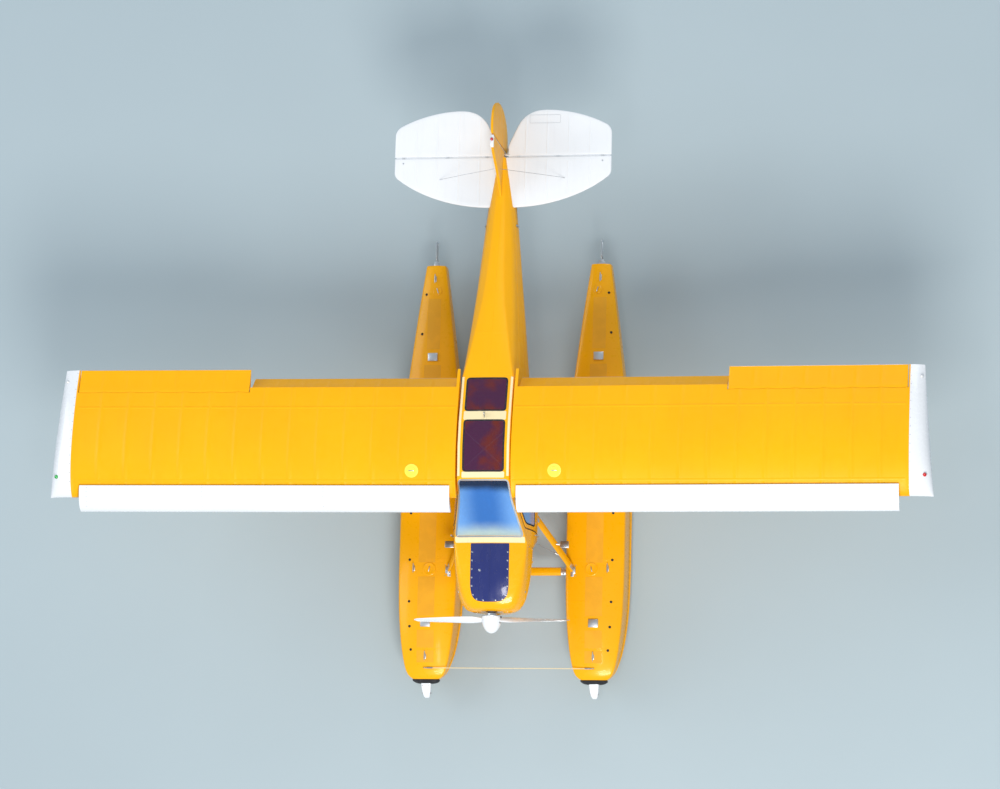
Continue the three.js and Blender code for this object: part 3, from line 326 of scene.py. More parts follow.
def rubber(name):
    made = Surface(name, Specular_IOR_Level=0.35)
    chalk = made.ramp(made.noise(26.0, 5), 0.5, 0.8)
    made.colour(made.mix(chalk * 0.5, (0.016, 0.017, 0.02, 1), (0.09, 0.09, 0.09, 1)))
    made.roughness(made.ramp(made.noise(60.0, 3), 0.3, 0.7, 0.62, 0.85))
    made.bump(made.noise(190.0, 3), 0.0008)
    return made.material


def crackle(name):
    """Black crackle paint on the instrument panel and its small boxes."""
    made = Surface(name)
    cells = made.node("ShaderNodeTexVoronoi", {}, {"Vector": made.place(), "Scale": 420.0})
    worn = made.ramp(made.noise(18.0, 4), 0.55, 0.75)
    made.colour(made.mix(worn * 0.4, (0.014, 0.015, 0.018, 1), (0.06, 0.06, 0.065, 1)))
    made.roughness(cells * 0.2 + 0.45)
    made.bump(cells, 0.0006)
    return made.material


def acrylic(name, alpha, shade):
    """Thin acrylic sheet: faint polishing swirls and a film of dust. shade gives its colour."""
    made = Surface(name, Roughness=0.04, IOR=1.49, Coat_Weight=0.6, Coat_Roughness=0.02)
    swirl = made.ramp(made.noise(30.0, 5, (1, 0.5, 1)), 0.45, 0.8)
    made.colour(shade(made))
    made.roughness(swirl * 0.08 + 0.03)
    made.feed(made.shader.inputs["Alpha"], swirl * 0.05 + alpha)
    made.bump(made.noise(3.0, 1), 0.0012)
    return made.material


def clear_acrylic(name, tint):
    """Blue-tinted sheet: navy under the sun band at the top, lighter blue towards its sides and pale at its
    foot; the sides and the foot are a painted reflection of the sky.
    """
    def shade(made):
        along = made.along("Y") + made.noise(2.4, 3) * 0.1
        across = abs(made.along("X"))
        # Lighter blue towards the sides: painted reflection of the sky.
        middle = made.mix(made.ramp(across, 0.06, 0.34), rgba(tint), (0.2, 0.46, 0.92, 1))
        # Pale grey-green at the foot: painted reflection of the sky.
        foot = made.mix(made.ramp(along, -1.4, -1.58), middle, (0.6, 0.74, 0.68, 1))
        band_share = made.ramp(along, -1.16, -1.07) * made.ramp(along, -0.7, -0.8)
        return made.mix(band_share, foot, rgba(tint, 0.12))

    return acrylic(name, 0.66, shade)


def smoked_acrylic(name, tint):
    """Smoked sheet that has faded unevenly, from plum to a red brown."""
    def shade(made):
        faded = made.ramp(made.noise(4.2, 4), 0.42, 0.66)
        return made.mix(faded, rgba(tint), (0.16, 0.014, 0.006, 1))

    return acrylic(name, 0.7, shade)


def leather(name, colour):
    made = Surface(name, Sheen_Weight=0.15, Coat_Weight=0.08)
    grain = made.node("ShaderNodeTexVoronoi", {}, {"Vector": made.place(), "Scale": 330.0})
    worn = made.ramp(made.noise(6.0, 4), 0.5, 0.75)
    made.colour(made.mix(worn * 0.5, rgba(colour), rgba(colour, 1.7)))
    made.roughness(grain * 0.16 + worn * -0.1 + 0.46)
    made.bump(grain * 0.6 + made.noise(28.0, 3) * 1.2, 0.0012)
    return made.material


def webbing(name):
    made = Surface(name, Sheen_Weight=0.3)
    twill = made.threads(150.0, "DIAGONAL")
    made.colour(made.mix(twill, (0.02, 0.02, 0.024, 1), (0.06, 0.06, 0.07, 1)))
    made.roughness(made.noise(60.0, 2) * 0.2 + 0.65)
    made.bump(twill, 0.0007)
    return made.material


def lens(name, colour):
    """Ribbed plastic of a navigation light."""
    made = Surface(name, Coat_Weight=0.8, Coat_Roughness=0.03)
    ribs = made.threads(60.0, "Z")
    made.colour(made.mix(ribs, rgba(colour), rgba(colour, 0.6)))
    made.roughness(made.noise(30.0, 2) * 0.1 + 0.08)
    made.bump(ribs, 0.0008)
    return made.material


def grip_paint(name, colour):
    """Paint with sand in it, for the walkways on the float decks."""
    made = Surface(name)
    grit = made.noise(340.0, 3)
    worn = made.ramp(made.noise(7.0, 4), 0.4, 0.7)
    made.colour(made.mix(worn * 0.5 + grit * 0.3, rgba(colour, 0.84), rgba(colour, 0.97)))
    made.roughness(grit * 0.25 + 0.5)
    made.bump(grit, 0.0022)
    return made.material


def floor_paper(name, colour):
    made = Surface(name, Specular_IOR_Level=0.1)
    made.colour(made.mix(made.noise(0.7, 3), rgba(colour), rgba(colour, 1.04)))
    made.roughness(made.noise(3.0, 3) * 0.1 + 0.82)
    return made.material


# The finishes by name, with the record's material slot that each one stands for.
FINISHES = {
    "sheet_yellow": ("yellow_metal", lambda n, p: sheet_paint(n, p.yellow)),
    "hull_yellow": ("yellow_metal", lambda n, p: sheet_paint(n, p.yellow, 0.32, tide=True)),
    "cloth_yellow": ("yellow_fabric", lambda n, p: doped_fabric(n, p.yellow)),
    "cloth_white": ("white_fabric", lambda n, p: doped_fabric(n, p.white)),
    "shell_yellow": ("yellow_composite", lambda n, p: gel_coat(n, p.yellow)),
    "shell_white": ("white_composite", lambda n, p: gel_coat(n, p.white)),
    "sheet_white": ("white_metal", lambda n, p: sheet_paint(n, p.white)),
    "cream_trim": ("white_metal", lambda n, p: sheet_paint(n, p.cream)),
    # Filler caps: paler than the wing's yellow, as a painted highlight of their glint.
    "filler_yellow": ("yellow_metal", lambda n, p: sheet_paint(n, p.filler)),
    "anti_glare": ("dark_panel", lambda n, p: dark_paint(n, p.dark)),
    "blade_white": ("blade_composite", lambda n, p: gel_coat(n, p.white)),
    "engine_iron": ("engine_iron", lambda n, p: iron(n)),
    "clear_pane": ("clear_glazing", lambda n, p: clear_acrylic(n, p.clear)),
    "smoked_pane": ("smoked_glazing", lambda n, p: smoked_acrylic(n, p.smoked)),
    "aluminium": ("bare_aluminium", lambda n, p: aluminium(n)),
    "steel_pipe": ("bare_aluminium", lambda n, p: hot_steel(n)),
    "bolt_steel": ("bare_aluminium", lambda n, p: aluminium(n, (0.4, 0.41, 0.43), 0.4)),
    "fitting_white": ("white_alloy", lambda n, p: gel_coat(n, p.white)),
    "crackle_black": ("dark_alloy", lambda n, p: crackle(n)),
    "rubber": ("bumper_rubber", lambda n, p: rubber(n)),
    "leather": ("seat_cover", lambda n, p: leather(n, p.seat)),
    "webbing": ("seat_cover", lambda n, p: webbing(n)),
    "red_lens": ("clear_glazing", lambda n, p: lens(n, (0.7, 0.01, 0.01))),
    "green_lens": ("clear_glazing", lambda n, p: lens(n, (0.01, 0.45, 0.06))),
    "white_lens": ("clear_glazing", lambda n, p: lens(n, (0.85, 0.85, 0.85))),
    "grip": ("yellow_metal", lambda n, p: grip_paint(n, p.yellow)),
    "floor_paper": (None, lambda n, p: floor_paper(n, bpy.context.scene.floatplane_stage.floor)),
}


def finish_named(name):
    if name not in bpy.data.materials:
        FINISHES[name][1](name, bpy.context.scene.floatplane_paint)
    return bpy.data.materials[name]


# Forms: each function gives a closed bmesh in millimetres.
def cleaned(form):
    bmesh.ops.remove_doubles(form, verts=form.verts, dist=0.01)
    bmesh.ops.recalc_face_normals(form, faces=form.faces)
    return form


def edge_ring(form, points, closed=True):
    verts = [form.verts.new(point) for point in points]
    ends = verts[1:] + verts[:1] if closed else verts[1:]
    return verts, [form.edges.new(pair) for pair in zip(verts, ends)]


def loft(rings, loop=False, caps=True):
    """A skin through rings of points: each ring is extruded from the one before."""
    form = bmesh.new()
    verts, edges = edge_ring(form, rings[0])
    if caps and not loop:
        form.faces.new(verts)
    for ring in rings[1:] + (rings[:1] if loop else []):
        made = bmesh.ops.extrude_edge_only(form, edges=edges)["geom"]
        order = {vert: i for i, vert in enumerate(verts)}
        new = [item for item in made if isinstance(item, bmesh.types.BMVert)]
        following = [None] * len(verts)
        for vert in new:
            old = next(edge.other_vert(vert) for edge in vert.link_edges if edge.other_vert(vert) in order)
            following[order[old]] = vert
        for vert, point in zip(following, ring):
            vert.co = point
        edges = [form.edges.get((a, b)) for a, b in zip(following, following[1:] + following[:1])]
        verts = following
    if caps and not loop:
        form.faces.new(verts)
    return cleaned(form)


def rounded(form, edges, reach, segments=2):
    bmesh.ops.bevel(
        form, geom=edges, offset=reach, segments=segments, affect="EDGES", profile=0.5, material=-1,
    )


def prism(outline, low, high, axis="x", round_edges=0):
    """An outline, in station and height for axis x or in x and station for axis z, made solid."""
    place = {"x": lambda a, b: (low, a, b), "z": lambda a, b: (a, b, low)}[axis]
    form = bmesh.new()
    face = form.faces.new([form.verts.new(place(a, b)) for a, b in outline])
    made = bmesh.ops.extrude_face_region(form, geom=[face])["geom"]
    top = [item for item in made if isinstance(item, bmesh.types.BMVert)]
    index = "xyz".index(axis)
    reach = Vector()
    reach[index] = high - low
    bmesh.ops.translate(form, verts=top, vec=reach)
    if round_edges:
        rims = [e for e in form.edges if abs(e.verts[0].co[index] - e.verts[1].co[index]) < 0.01]
        rounded(form, rims, round_edges, 3)
    return cleaned(form)


def box(low, high, round_edges=0):
    low, high = Vector(low), Vector(high)
    form = bmesh.new()
    size = high - low
    place = Matrix.Translation((low + high) / 2) @ Matrix.Diagonal((*size, 1))
    bmesh.ops.create_cube(form, size=1, matrix=place)
    if round_edges:
        rounded(form, form.edges, round_edges)
    return cleaned(form)


def pointing(start, direction):
    """A matrix whose Z axis lies along a direction, at a point."""
    return Matrix.Translation(start) @ Vector(direction).to_track_quat("Z", "Y").to_matrix().to_4x4()


def rod(start, end, radius, end_radius=None, sides=14, round_edges=0):
    start, end = Vector(start), Vector(end)
    reach = end - start
    form = bmesh.new()
    bmesh.ops.create_cone(
        form, cap_ends=True, segments=sides, radius1=radius,
        radius2=radius if end_radius is None else end_radius,
        depth=reach.length, matrix=pointing((start + end) / 2, reach),
    )
    if round_edges:
        rims = [e for e in form.edges if any(len(f.verts) > 4 for f in e.link_faces)]
        rounded(form, rims, round_edges)
    return cleaned(form)


def lathe(profile, place, steps=32):
    """A profile of radius and height spun round the Z axis of a matrix."""
    form = bmesh.new()
    _, edges = edge_ring(form, [(radius, 0, height) for radius, height in profile], closed=False)
    bmesh.ops.spin(
        form, geom=edges + form.verts[:], angle=2 * math.pi, steps=steps, axis=(0, 0, 1), cent=(0, 0, 0),
        use_merge=True,
    )
    bmesh.ops.transform(form, matrix=place, verts=form.verts)
    return cleaned(form)


def turns(count):
    """Angles in equal steps round a circle."""
    return [2 * math.pi * i / count for i in range(count)]


def circle(x, y, radius, count):
    return [(x + radius * math.cos(t), y + radius * math.sin(t)) for t in turns(count)]


def frames_along(points, up=(0, 0, 1), loop=False):
    """A point, side and up vector for each point of a path."""
    points = [Vector(p) for p in points]
    count = len(points)
    made = []
    for i, here in enumerate(points):
        before = points[i - 1] if i or loop else here
        after = points[(i + 1) % count] if i + 1 < count or loop else here
        along = (after - before).normalized()
        side = along.cross(Vector(up))
        if side.length < 1e-3:
            side = along.cross(Vector((1, 0, 0)))
        side.normalize()
        made.append((here, side, side.cross(along).normalized()))
    return made


def tube(points, radius, sides=10, loop=False, up=(0, 0, 1)):
    """A round bar along a path, of one radius or of a list of them."""
    radii = radius if isinstance(radius, (list, tuple)) else [radius] * len(points)
    rings = [
        [here + side * (math.cos(t) * r) + above * (math.sin(t) * r) for t in turns(sides)]
        for (here, side, above), r in zip(frames_along(points, up, loop), radii)
    ]
    return loft(rings, loop)


def bar(start, end, chord, thickness, swell=0.0):
    """A streamlined bar: a blunt nose ahead and a finer tail behind."""
    start, end = Vector(start), Vector(end)
    along = (end - start).normalized()
    aft = Vector((0, 1, 0))
    back = (aft - along * aft.dot(along)).normalized()
    side = along.cross(back)
    section = []
    for turn in turns(20):
        reach = math.cos(turn)
        fineness = 1 - 0.22 * reach
        section.append((reach * chord / 2, math.sin(turn) * thickness / 2 * fineness))
    rings = []
    for share in (0, 0.04, 0.25, 0.5, 0.75, 0.96, 1):
        fullness = 1 + swell * math.sin(math.pi * share) - (0.12 if share in (0, 1) else 0)
        centre = start.lerp(end, share)
        rings.append([centre + back * (a * fullness) + side * (b * fullness) for a, b in section])
    return loft(rings)


def mirrored(form):
    made = form.copy()
    bmesh.ops.scale(made, vec=(-1, 1, 1), verts=made.verts)
    bmesh.ops.reverse_faces(made, faces=made.faces)
    return made


def carve(form, *cutters, keep="DIFFERENCE"):
    """A form cut by others, or what it has in common with them."""
    objects = []
    for part in (form, *cutters):
        mesh = bpy.data.meshes.new("cut")
        part.to_mesh(mesh)
        part.free()
        objects.append(bpy.data.objects.new("cut", mesh))
        bpy.context.scene.collection.objects.link(objects[-1])
    for cutter in objects[1:]:
        modifier = objects[0].modifiers.new("cut", "BOOLEAN")
        modifier.operation = keep
        modifier.solver = "EXACT"
        modifier.object = cutter
    graph = bpy.context.evaluated_depsgraph_get()
    made = bmesh.new()
    made.from_object(objects[0], graph)
    for item in objects:
        mesh = item.data
        bpy.data.objects.remove(item)
        bpy.data.meshes.remove(mesh)
    bmesh.ops.remove_doubles(made, verts=made.verts, dist=0.01)
    bmesh.ops.holes_fill(made, edges=[e for e in made.edges if e.is_boundary], sides=4)
    return made


def grown(outline, distance):
    """An outline moved outwards by a distance, corner by corner."""
    area = sum(a[0] * b[1] - b[0] * a[1] for a, b in zip(outline, outline[1:] + outline[:1]))
    turn = -distance if area > 0 else distance
    made = []
    for i, here in enumerate(outline):
        here = Vector(here)
        before = (here - Vector(outline[i - 1])).normalized()
        after = (Vector(outline[(i + 1) % len(outline)]) - here).normalized()
        inward = Vector((-before.y - after.y, before.x + after.x)).normalized()
        made.append(tuple(here + inward * turn / math.sqrt((1 + before.dot(after)) / 2)))
    return made


def eased(points, softness, steps=4, loop=True):
    """A path whose corners are rounded, each by its own softness or by one for all."""
    made = []
    count = len(points)
    for i, here in enumerate(points):
        here = Vector(here)
        soft = softness[i] if isinstance(softness, (list, tuple)) else softness
        if not soft or (not loop and i in (0, count - 1)):
            made.append(here)
            continue
        before, after = Vector(points[i - 1]), Vector(points[(i + 1) % count])
        start = here.lerp(before, min(soft / (before - here).length, 0.46))
        end = here.lerp(after, min(soft / (after - here).length, 0.46))
        for k in range(steps + 1):
            share = k / steps
            made.append(start.lerp(here, share).lerp(here.lerp(end, share), share))
    return made


class Piece:
    """One object in the making, from forms of one or more finishes."""

    def __init__(self, *finishes):
        self.form = bmesh.new()
        self.finishes = finishes

    def add(self, form, finish=0, place=None):
        if place is not None:
            bmesh.ops.transform(form, matrix=place, verts=form.verts)
        for face in form.faces:
            face.material_index = finish
            face.smooth = True
        mesh = bpy.data.meshes.new("form")
        form.to_mesh(mesh)
        form.free()
        self.form.from_mesh(mesh)
        bpy.data.meshes.remove(mesh)
        return self

    def tree(self):
        return BVHTree.FromBMesh(self.form)

    def finish(self, name, body, replaces=(), bevel=0.0, crease=32, smooth=0, mirror=False):
        form = self.form.copy()
        if mirror:
            bmesh.ops.scale(form, vec=(-1, 1, 1), verts=form.verts)
            bmesh.ops.reverse_faces(form, faces=form.faces)
        bmesh.ops.transform(form, matrix=TO_METRES, verts=form.verts)
        mesh = bpy.data.meshes.new(name)
        form.to_mesh(mesh)
        form.free()
        for finish in self.finishes:
            mesh.materials.append(finish_named(finish))
        mesh.set_sharp_from_angle(angle=math.radians(crease))
        made = bpy.data.objects.new(name, mesh)
        bpy.context.scene.collection.objects.link(made)
        if bevel:
            modifier = made.modifiers.new("edges", "BEVEL")
            modifier.width = bevel
            modifier.segments = 2
            modifier.limit_method = "ANGLE"
            modifier.angle_limit = math.radians(40)
        if smooth:
            modifier = made.modifiers.new("smooth", "SUBSURF")
            modifier.levels = smooth
            modifier.render_levels = smooth
        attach(made, body)
        if replaces:
            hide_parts(*replaces)
        return made

    def finish_pair(self, name, body, replaces=(), **looks):
        """The same piece on the left and mirrored on the right."""
        for side, sign in SIDES.items():
            there = [f"{node}_{side}" for node in replaces]
            on = body if body == "airframe" else f"{body}_{side}"
            self.finish(f"{name}_{side}", on, there, mirror=sign < 0, **looks)


def on_skin(tree, points, direction):
    """Where points, sent in a direction, meet a skin: the place and the way it faces."""
    hits = []
    for point in points:
        place, normal, _, _ = tree.ray_cast(Vector(point), Vector(direction))
        if place is not None:
            hits.append((place, normal if normal.dot(Vector(direction)) < 0 else -normal))
    return hits


def set_on(tree, point, direction):
    """A matrix whose Z axis leaves a skin, where a point sent in a direction meets it."""
    return pointing(*on_skin(tree, [point], direction)[0])


def from_above(tree, places, height=3000):
    """Where places in plan, sent down from a height, meet a skin."""
    return on_skin(tree, [(x, s, height) for x, s in places], DOWN)


def from_side(tree, places, sign, reach=900):
    """Where places in station and height, sent in from one side, meet a skin."""
    return on_skin(tree, [(reach * sign, s, z) for s, z in places], (-sign, 0, 0))


def spaced(start, end, pitch):
    start, end = Vector(start), Vector(end)
    count = max(1, round((end - start).length / pitch))
    return [start.lerp(end, i / count) for i in range(count + 1)]


def spaced_path(points, pitch, loop=False):
    corners = [Vector(p) for p in points]
    made = []
    for a, b in zip(corners, corners[1:] + (corners[:1] if loop else [])):
        made += spaced(a, b, pitch)[:-1]
    return made if loop else made + [corners[-1]]


def band(hits, width, thickness, loop=False):
    """A flat strip that lies on a skin, sunk a millimetre into it."""
    count = len(hits)
    edge, flat = width / 2, width / 2 - thickness * 0.8
    profile = (
        (-edge, -1.0), (-edge, thickness * 0.4), (-flat, thickness),
        (flat, thickness), (edge, thickness * 0.4), (edge, -1.0),
    )
    rings = []
    for i, (place, normal) in enumerate(hits):
        before = hits[i - 1][0] if i or loop else place
        after = hits[(i + 1) % count][0] if i + 1 < count or loop else place
        side = normal.cross(after - before).normalized()
        rings.append([place + side * across + normal * height for across, height in profile])
    return loft(rings, loop)


def rivets(piece, hits, finish=0, radius=None, sides=6):
    """A row of domed rivet heads."""
    size = radius or bpy.context.scene.floatplane_rivets.radius * 1000
    for place, normal in hits:
        head = bmesh.new()
        bmesh.ops.create_cone(
            head, cap_ends=True, segments=sides, radius1=size, radius2=size * 0.55, depth=size * 0.7,
            matrix=pointing(place + normal * (size * 0.22), normal),
        )
        piece.add(head, finish)


def bolt(piece, place, normal, radius=7, finish=0):
    """A washer and a hexagon head."""
    place, normal = Vector(place), Vector(normal).normalized()
    piece.add(rod(place - normal, place + normal * radius * 0.3, radius * 1.6, sides=16), finish)
    piece.add(rod(place, place + normal * radius, radius, sides=6), finish)


def fasteners(piece, hits):
    """Quarter-turn fasteners in the piece's second finish."""
    for place, normal in hits:
        piece.add(lathe([(0, 0), (9, 0), (9, 1.8), (6, 3.2), (0, 3.2)], pointing(place, normal), 16), 1)


# Wings. Their forms are in the wing's own frame: x along the span, y back from the leading edge.
OVER_WING = 300


def camber_and_half(u):
    camber, at = WING["camber"], WING["camber_at"]
    if u < at:
        line = camber / at**2 * (2 * at * u - u * u)
    else:
        line = camber / (1 - at) ** 2 * (1 - 2 * at + 2 * at * u - u * u)
    root = 0.2969 * math.sqrt(max(u, 0)) - 0.126 * u - 0.3516 * u**2 + 0.2843 * u**3 - 0.1015 * u**4
    return line * WING["chord"], 5 * WING["thickness"] * root * WING["chord"]


def wing_section(steps=24, lift=None):
    """The aerofoil from its trailing edge over the top and back below. lift gives its skin's rise."""
    def point(i, sign):
        u = (1 - math.cos(math.pi * i / steps)) / 2
        line, half = camber_and_half(u)
        return u * WING["chord"], line + sign * (half + (lift(u) if lift else 0))

    return [point(steps - i, 1) for i in range(steps + 1)] + [point(i + 1, -1) for i in range(steps)]


def covered_stations(start, end, pitch, tape):
    """Places along the span, each with the fabric's sag there: -1 over a rib's tape, up to 1 mid-bay."""
    bays = max(1, round((end - start) / pitch))
    width = (end - start) / bays
    made = []
    for i in range(bays + 1):
        rib = start + i * width
        for offset, sag in ((-tape / 2 - 1.5, 0), (-tape / 2, -1), (tape / 2, -1), (tape / 2 + 1.5, 0)):
            if start - 0.01 <= rib + offset <= end + 0.01:
                made.append((rib + offset, sag))
        if i < bays:
            shares = (0.15, 0.3, 0.5, 0.7, 0.85)
            made += [(rib + width * share, math.sin(math.pi * share)) for share in shares]
    if made[0][0] > start:
        made.insert(0, (start, -1))
    if made[-1][0] < end:
        made.append((end, -1))
    return made


def wing_skin(covering):
    """Cloth that sags between the ribs, behind a nose of sheet, with the bays cut out behind."""
    sag, tape = covering.sag * 1000, covering.tape * 1000
    nose = 0.11

    def ring(x, amount):
        def lift(u):
            cloth = math.sin(math.pi * min(max((u - nose) / (1 - nose), 0), 1)) ** 0.6
            return 0.7 if amount < 0 else -sag * amount * cloth

        return [Vector((x, y, z)) for y, z in wing_section(lift=lift)]

    stations = covered_stations(WING["start"], WING["panel"], covering.rib_pitch * 1000, tape)
    full = loft([ring(x, amount) for x, amount in stations])
    inner, split, outer = BAYS
    low, high, behind = -100, 200, 1600
    flap_bay = [
        (HINGE, low), (behind, low), (behind, high), (FLAP["lip"], high), (FLAP["lip"], 54.5),
        (HINGE, FLAP["z"] + FLAP["nose"] + 8.4),
    ]
    aileron_bay = [(HINGE, low), (behind, low), (behind, high), (HINGE, high)]
    bays = [prism(flap_bay, inner, split), prism(aileron_bay, split, outer)]
    for spec, start, end, room in ((FLAP, inner, split, 8), (AILERON, split, outer, 7)):
        ends = [(x, HINGE, spec["z"]) for x in (start + 0.4, end - 0.4)]
        bays.append(rod(*ends, spec["nose"] + room, sides=40))
    return carve(full, *bays)


def hinge_bosses(piece, finish):
    inner, split, outer = BAYS
    for start, end, height in (
        (inner - 2, FLAP["from"] - 0.4, FLAP["z"]),
        (FLAP["to"] + 0.4, split, FLAP["z"]),
        (split, AILERON["from"] - 0.4, AILERON["z"]),
        (AILERON["to"] + 0.4, outer + 2, AILERON["z"]),
    ):
        piece.add(rod((start, HINGE, height), (end, HINGE, height), 10, sides=20), finish)
    rib = [(HINGE - 70, 0), (HINGE + 10, 8), (HINGE + 10, 44), (HINGE - 70, 56)]
    piece.add(prism(rib, split - 3, split + 3), finish)


def stitches(piece, tree, ribs, start, end):
    """Rib stitching: small knots in a row down each tape, above and below."""
    for sign in (1, -1):
        for x in ribs:
            path = [(x, y, OVER_WING * sign) for y in range(start, end, 70)]
            rivets(piece, on_skin(tree, path, (0, 0, -sign)), 0, 2.2, 5)


class FLOATPLANE_OT_wings(bpy.types.Operator):
    """Wing panels in doped cloth, with rib tapes, stitching, fuel caps and inspection rings"""

    bl_idname = "floatplane.wings"
    bl_label = "Wing panels"

    def execute(self, context):
        covering = context.scene.floatplane_covering
        piece = Piece("cloth_yellow", "aluminium")
        piece.add(wing_skin(covering))
        tree = piece.tree()
        hinge_bosses(piece, 1)
        span = WING["panel"] - WING["start"]
        bays = round(span / (covering.rib_pitch * 1000))
        pitch = span / bays
        stitches(piece, tree, [WING["start"] + pitch * i for i in range(1, bays)], 200, 1100)
        for chordwise in (165, 980):
            seam = from_above(tree, [(x, chordwise) for x in range(30, 4260, 60)], OVER_WING)
            piece.add(band(seam, 30, 0.9))
        for x, y in ((700, 620), (1500, 620), (2700, 620), (3500, 620), (1200, 1060), (3300, 1060)):
            ring = [(*place, -OVER_WING) for place in circle(x, y, 52, 20)]
            piece.add(band(on_skin(tree, ring, UP), 8, 1.6, loop=True))
        piece.form.transform(WING_FRAME)
        piece.finish_pair("wing_skin", "airframe", ["wing"], crease=40)

        # Fuel caps: real caps, painted a paler yellow than the wing as a painted highlight of their glint.
        cap = Piece("filler_yellow", "aluminium")
        spot = set_on(tree, (490, 270, OVER_WING), DOWN)
        cap.add(lathe([(0, 0), (74, 0), (74, 2.4), (66, 3.6), (0, 3.6)], spot, 40))
        cap.add(lathe([(0, 3), (42, 3), (42, 8), (36, 12), (0, 12)], spot, 32))
        cap.add(box((-30, -4, 11), (30, 4, 19), 2), 1, spot)
        cap.form.transform(WING_FRAME)
        cap.finish_pair("fuel_cap", "airframe", bevel=0.0006)
        return {"FINISHED"}


class FLOATPLANE_OT_wing_tips(bpy.types.Operator):
    """Moulded wing tips with their navigation and strobe lights"""

    bl_idname = "floatplane.wing_tips"
    bl_label = "Wing tips"

    def execute(self, context):
        front_width, rear_width, droop = 250, 150, 30
        rings = []
        for k in range(15):
            share = math.sin(math.pi / 2 * k / 14)
            depth = max((1 - share**3.2) ** 0.5, 0.1)
            ring = []
            for y, z in wing_section():
                width = front_width + (rear_width - front_width) * y / WING["chord"]
                line, _ = camber_and_half(y / WING["chord"])
                x = WING["panel"] + 0.4 + share * width
                ring.append(Vector((x, y, line + (z - line) * depth - droop * share**2)))
            rings.append(ring)
        piece = Piece("shell_white", "bolt_steel")
        piece.add(loft(rings))
        tree = piece.tree()
        for sign in (1, -1):
            path = [(WING["panel"] + 12, y, OVER_WING * sign) for y in range(60, 1400, 95)]
            rivets(piece, on_skin(tree, path, (0, 0, -sign)), 1, 4.5, 8)
        piece.form.transform(WING_FRAME)
        piece.finish_pair("wing_tip_shell", "airframe", ["wing_tip"], crease=50)
        for side, sign in SIDES.items():
            light = Piece("red_lens" if side == "left" else "green_lens", "sheet_white", "white_lens")
            spot = set_on(tree, (4430, 210, OVER_WING), DOWN)
            light.add(lathe([(0, -4), (30, -4), (30, 3), (26, 6), (0, 6)], spot, 28), 1)
            light.add(lathe([(0, 4), (22, 4), (21, 14), (16, 22), (8, 26), (0, 27)], spot, 24))
            rear = set_on(tree, (4390, 1290, OVER_WING), DOWN)
            light.add(lathe([(0, -3), (20, -3), (20, 4), (14, 14), (6, 18), (0, 19)], rear, 20), 2)
            light.form.transform(WING_FRAME)
            light.finish(f"tip_light_{side}", "airframe", mirror=sign < 0)
        return {"FINISHED"}


def curve_points(start, *pieces, steps=12):
    """Points along straight lines and quadratic and cubic curves joined end to end."""
    made = [Vector(start)]
    for controls in pieces:
        knots = [made[-1]] + [Vector(c) for c in controls]
        count = steps if len(controls) > 1 else 1
        for k in range(1, count + 1):
            level = knots
            while len(level) > 1:
                level = [a.lerp(b, k / count) for a, b in zip(level, level[1:])]
            made.append(level[0])
    return made


class FLOATPLANE_OT_slats(bpy.types.Operator):
    """Fixed leading-edge slats on their brackets"""

    bl_idname = "floatplane.slats"
    bl_label = "Slats"

    def execute(self, context):
        section = curve_points(
            (111, 124),
            ((-20, 134), (-140, 78), (-154, -5)),
            ((-158, -38), (-142, -44)),
            ((-126, -48), (-118, -34)),
            ((-95, 40), (0, 100), (111, 119)),
        )
        piece = Piece("shell_white", "bolt_steel", "sheet_white")
        start, end = SLAT["from"], SLAT["to"]
        piece.add(loft([[Vector((x, *p)) for p in section] for x in (start, start + 3, end - 3, end)]))
        tree = piece.tree()
        arm = eased([(-112, -42), (-20, -52), (70, -30), (70, 66), (20, 92), (-80, 50)], 22)
        nose = grown(wing_section()[:-1], 1.5)
        for x in SLAT["brackets"]:
            piece.add(carve(prism(arm, x, x + 8), prism(nose, x - 20, x + 20)), 2)
            for y, z in ((-86, 4), (-60, -22)):
                bolt(piece, (x + 8, y, z), (1, 0, 0), 6, 1)
            screws = from_above(tree, [(x + 4, y) for y in (-110, -60, -10, 40, 85)], OVER_WING)
            rivets(piece, screws, 1, 4, 8)
        for y in (96, -120):
            row = from_above(tree, [(x, y) for x in range(90, 4160, 68)], OVER_WING)
            rivets(piece, row, 0, 2.6, 6)
        for x in (1410, 2795):
            seam = from_above(tree, [(x, y) for y in range(-138, 108, 12)], OVER_WING)
            piece.add(band(seam, 34, 0.8))
        piece.form.transform(WING_FRAME)
        piece.finish_pair("slat_blade", "airframe", ["slat"], crease=45)
        return {"FINISHED"}


def surface_skin(spec, covering):
    """A flap or aileron about its own hinge, in cloth over ribs."""
    edge, nose, drop = WING["chord"] - HINGE, spec["nose"], spec["z"]
    pitch, tape, sag = covering.rib_pitch * 900, covering.tape * 1000, covering.sag * 550

    def face(start, end, sign, amount):
        """The upper or lower cloth from one point to another, full over a rib and hollow between."""
        points = []
        for k in range(9):
            share = k / 8
            here = start.lerp(end, share)
            rise = math.sin(math.pi * share) * (0.6 if amount < 0 else -sag * amount)
            points.append((here.x, here.y + rise * sign))
        return points

    def ring(x, amount):
        top_end, low_end = Vector((nose * 0.2, nose * 0.98)), Vector((nose * 0.2, -nose * 0.98))
        points = face(Vector((edge, 2 - drop)), top_end, 1, amount)
        for k in range(1, 16):
            turn = math.pi * (0.44 + 1.12 * k / 16)
            points.append((nose * math.cos(turn), nose * math.sin(turn)))
        points += face(low_end, Vector((edge, -2 - drop)), -1, amount)
        return [Vector((x, y, z)) for y, z in points]

    stations = covered_stations(spec["from"], spec["to"], pitch, tape)
    return loft([ring(x, amount) for x, amount in stations])


def hinge_frame(spec, angle=0.0):
    turn = Matrix.Rotation(math.radians(angle), 4, "X")
    return WING_FRAME @ Matrix.Translation((0, HINGE, spec["z"])) @ turn


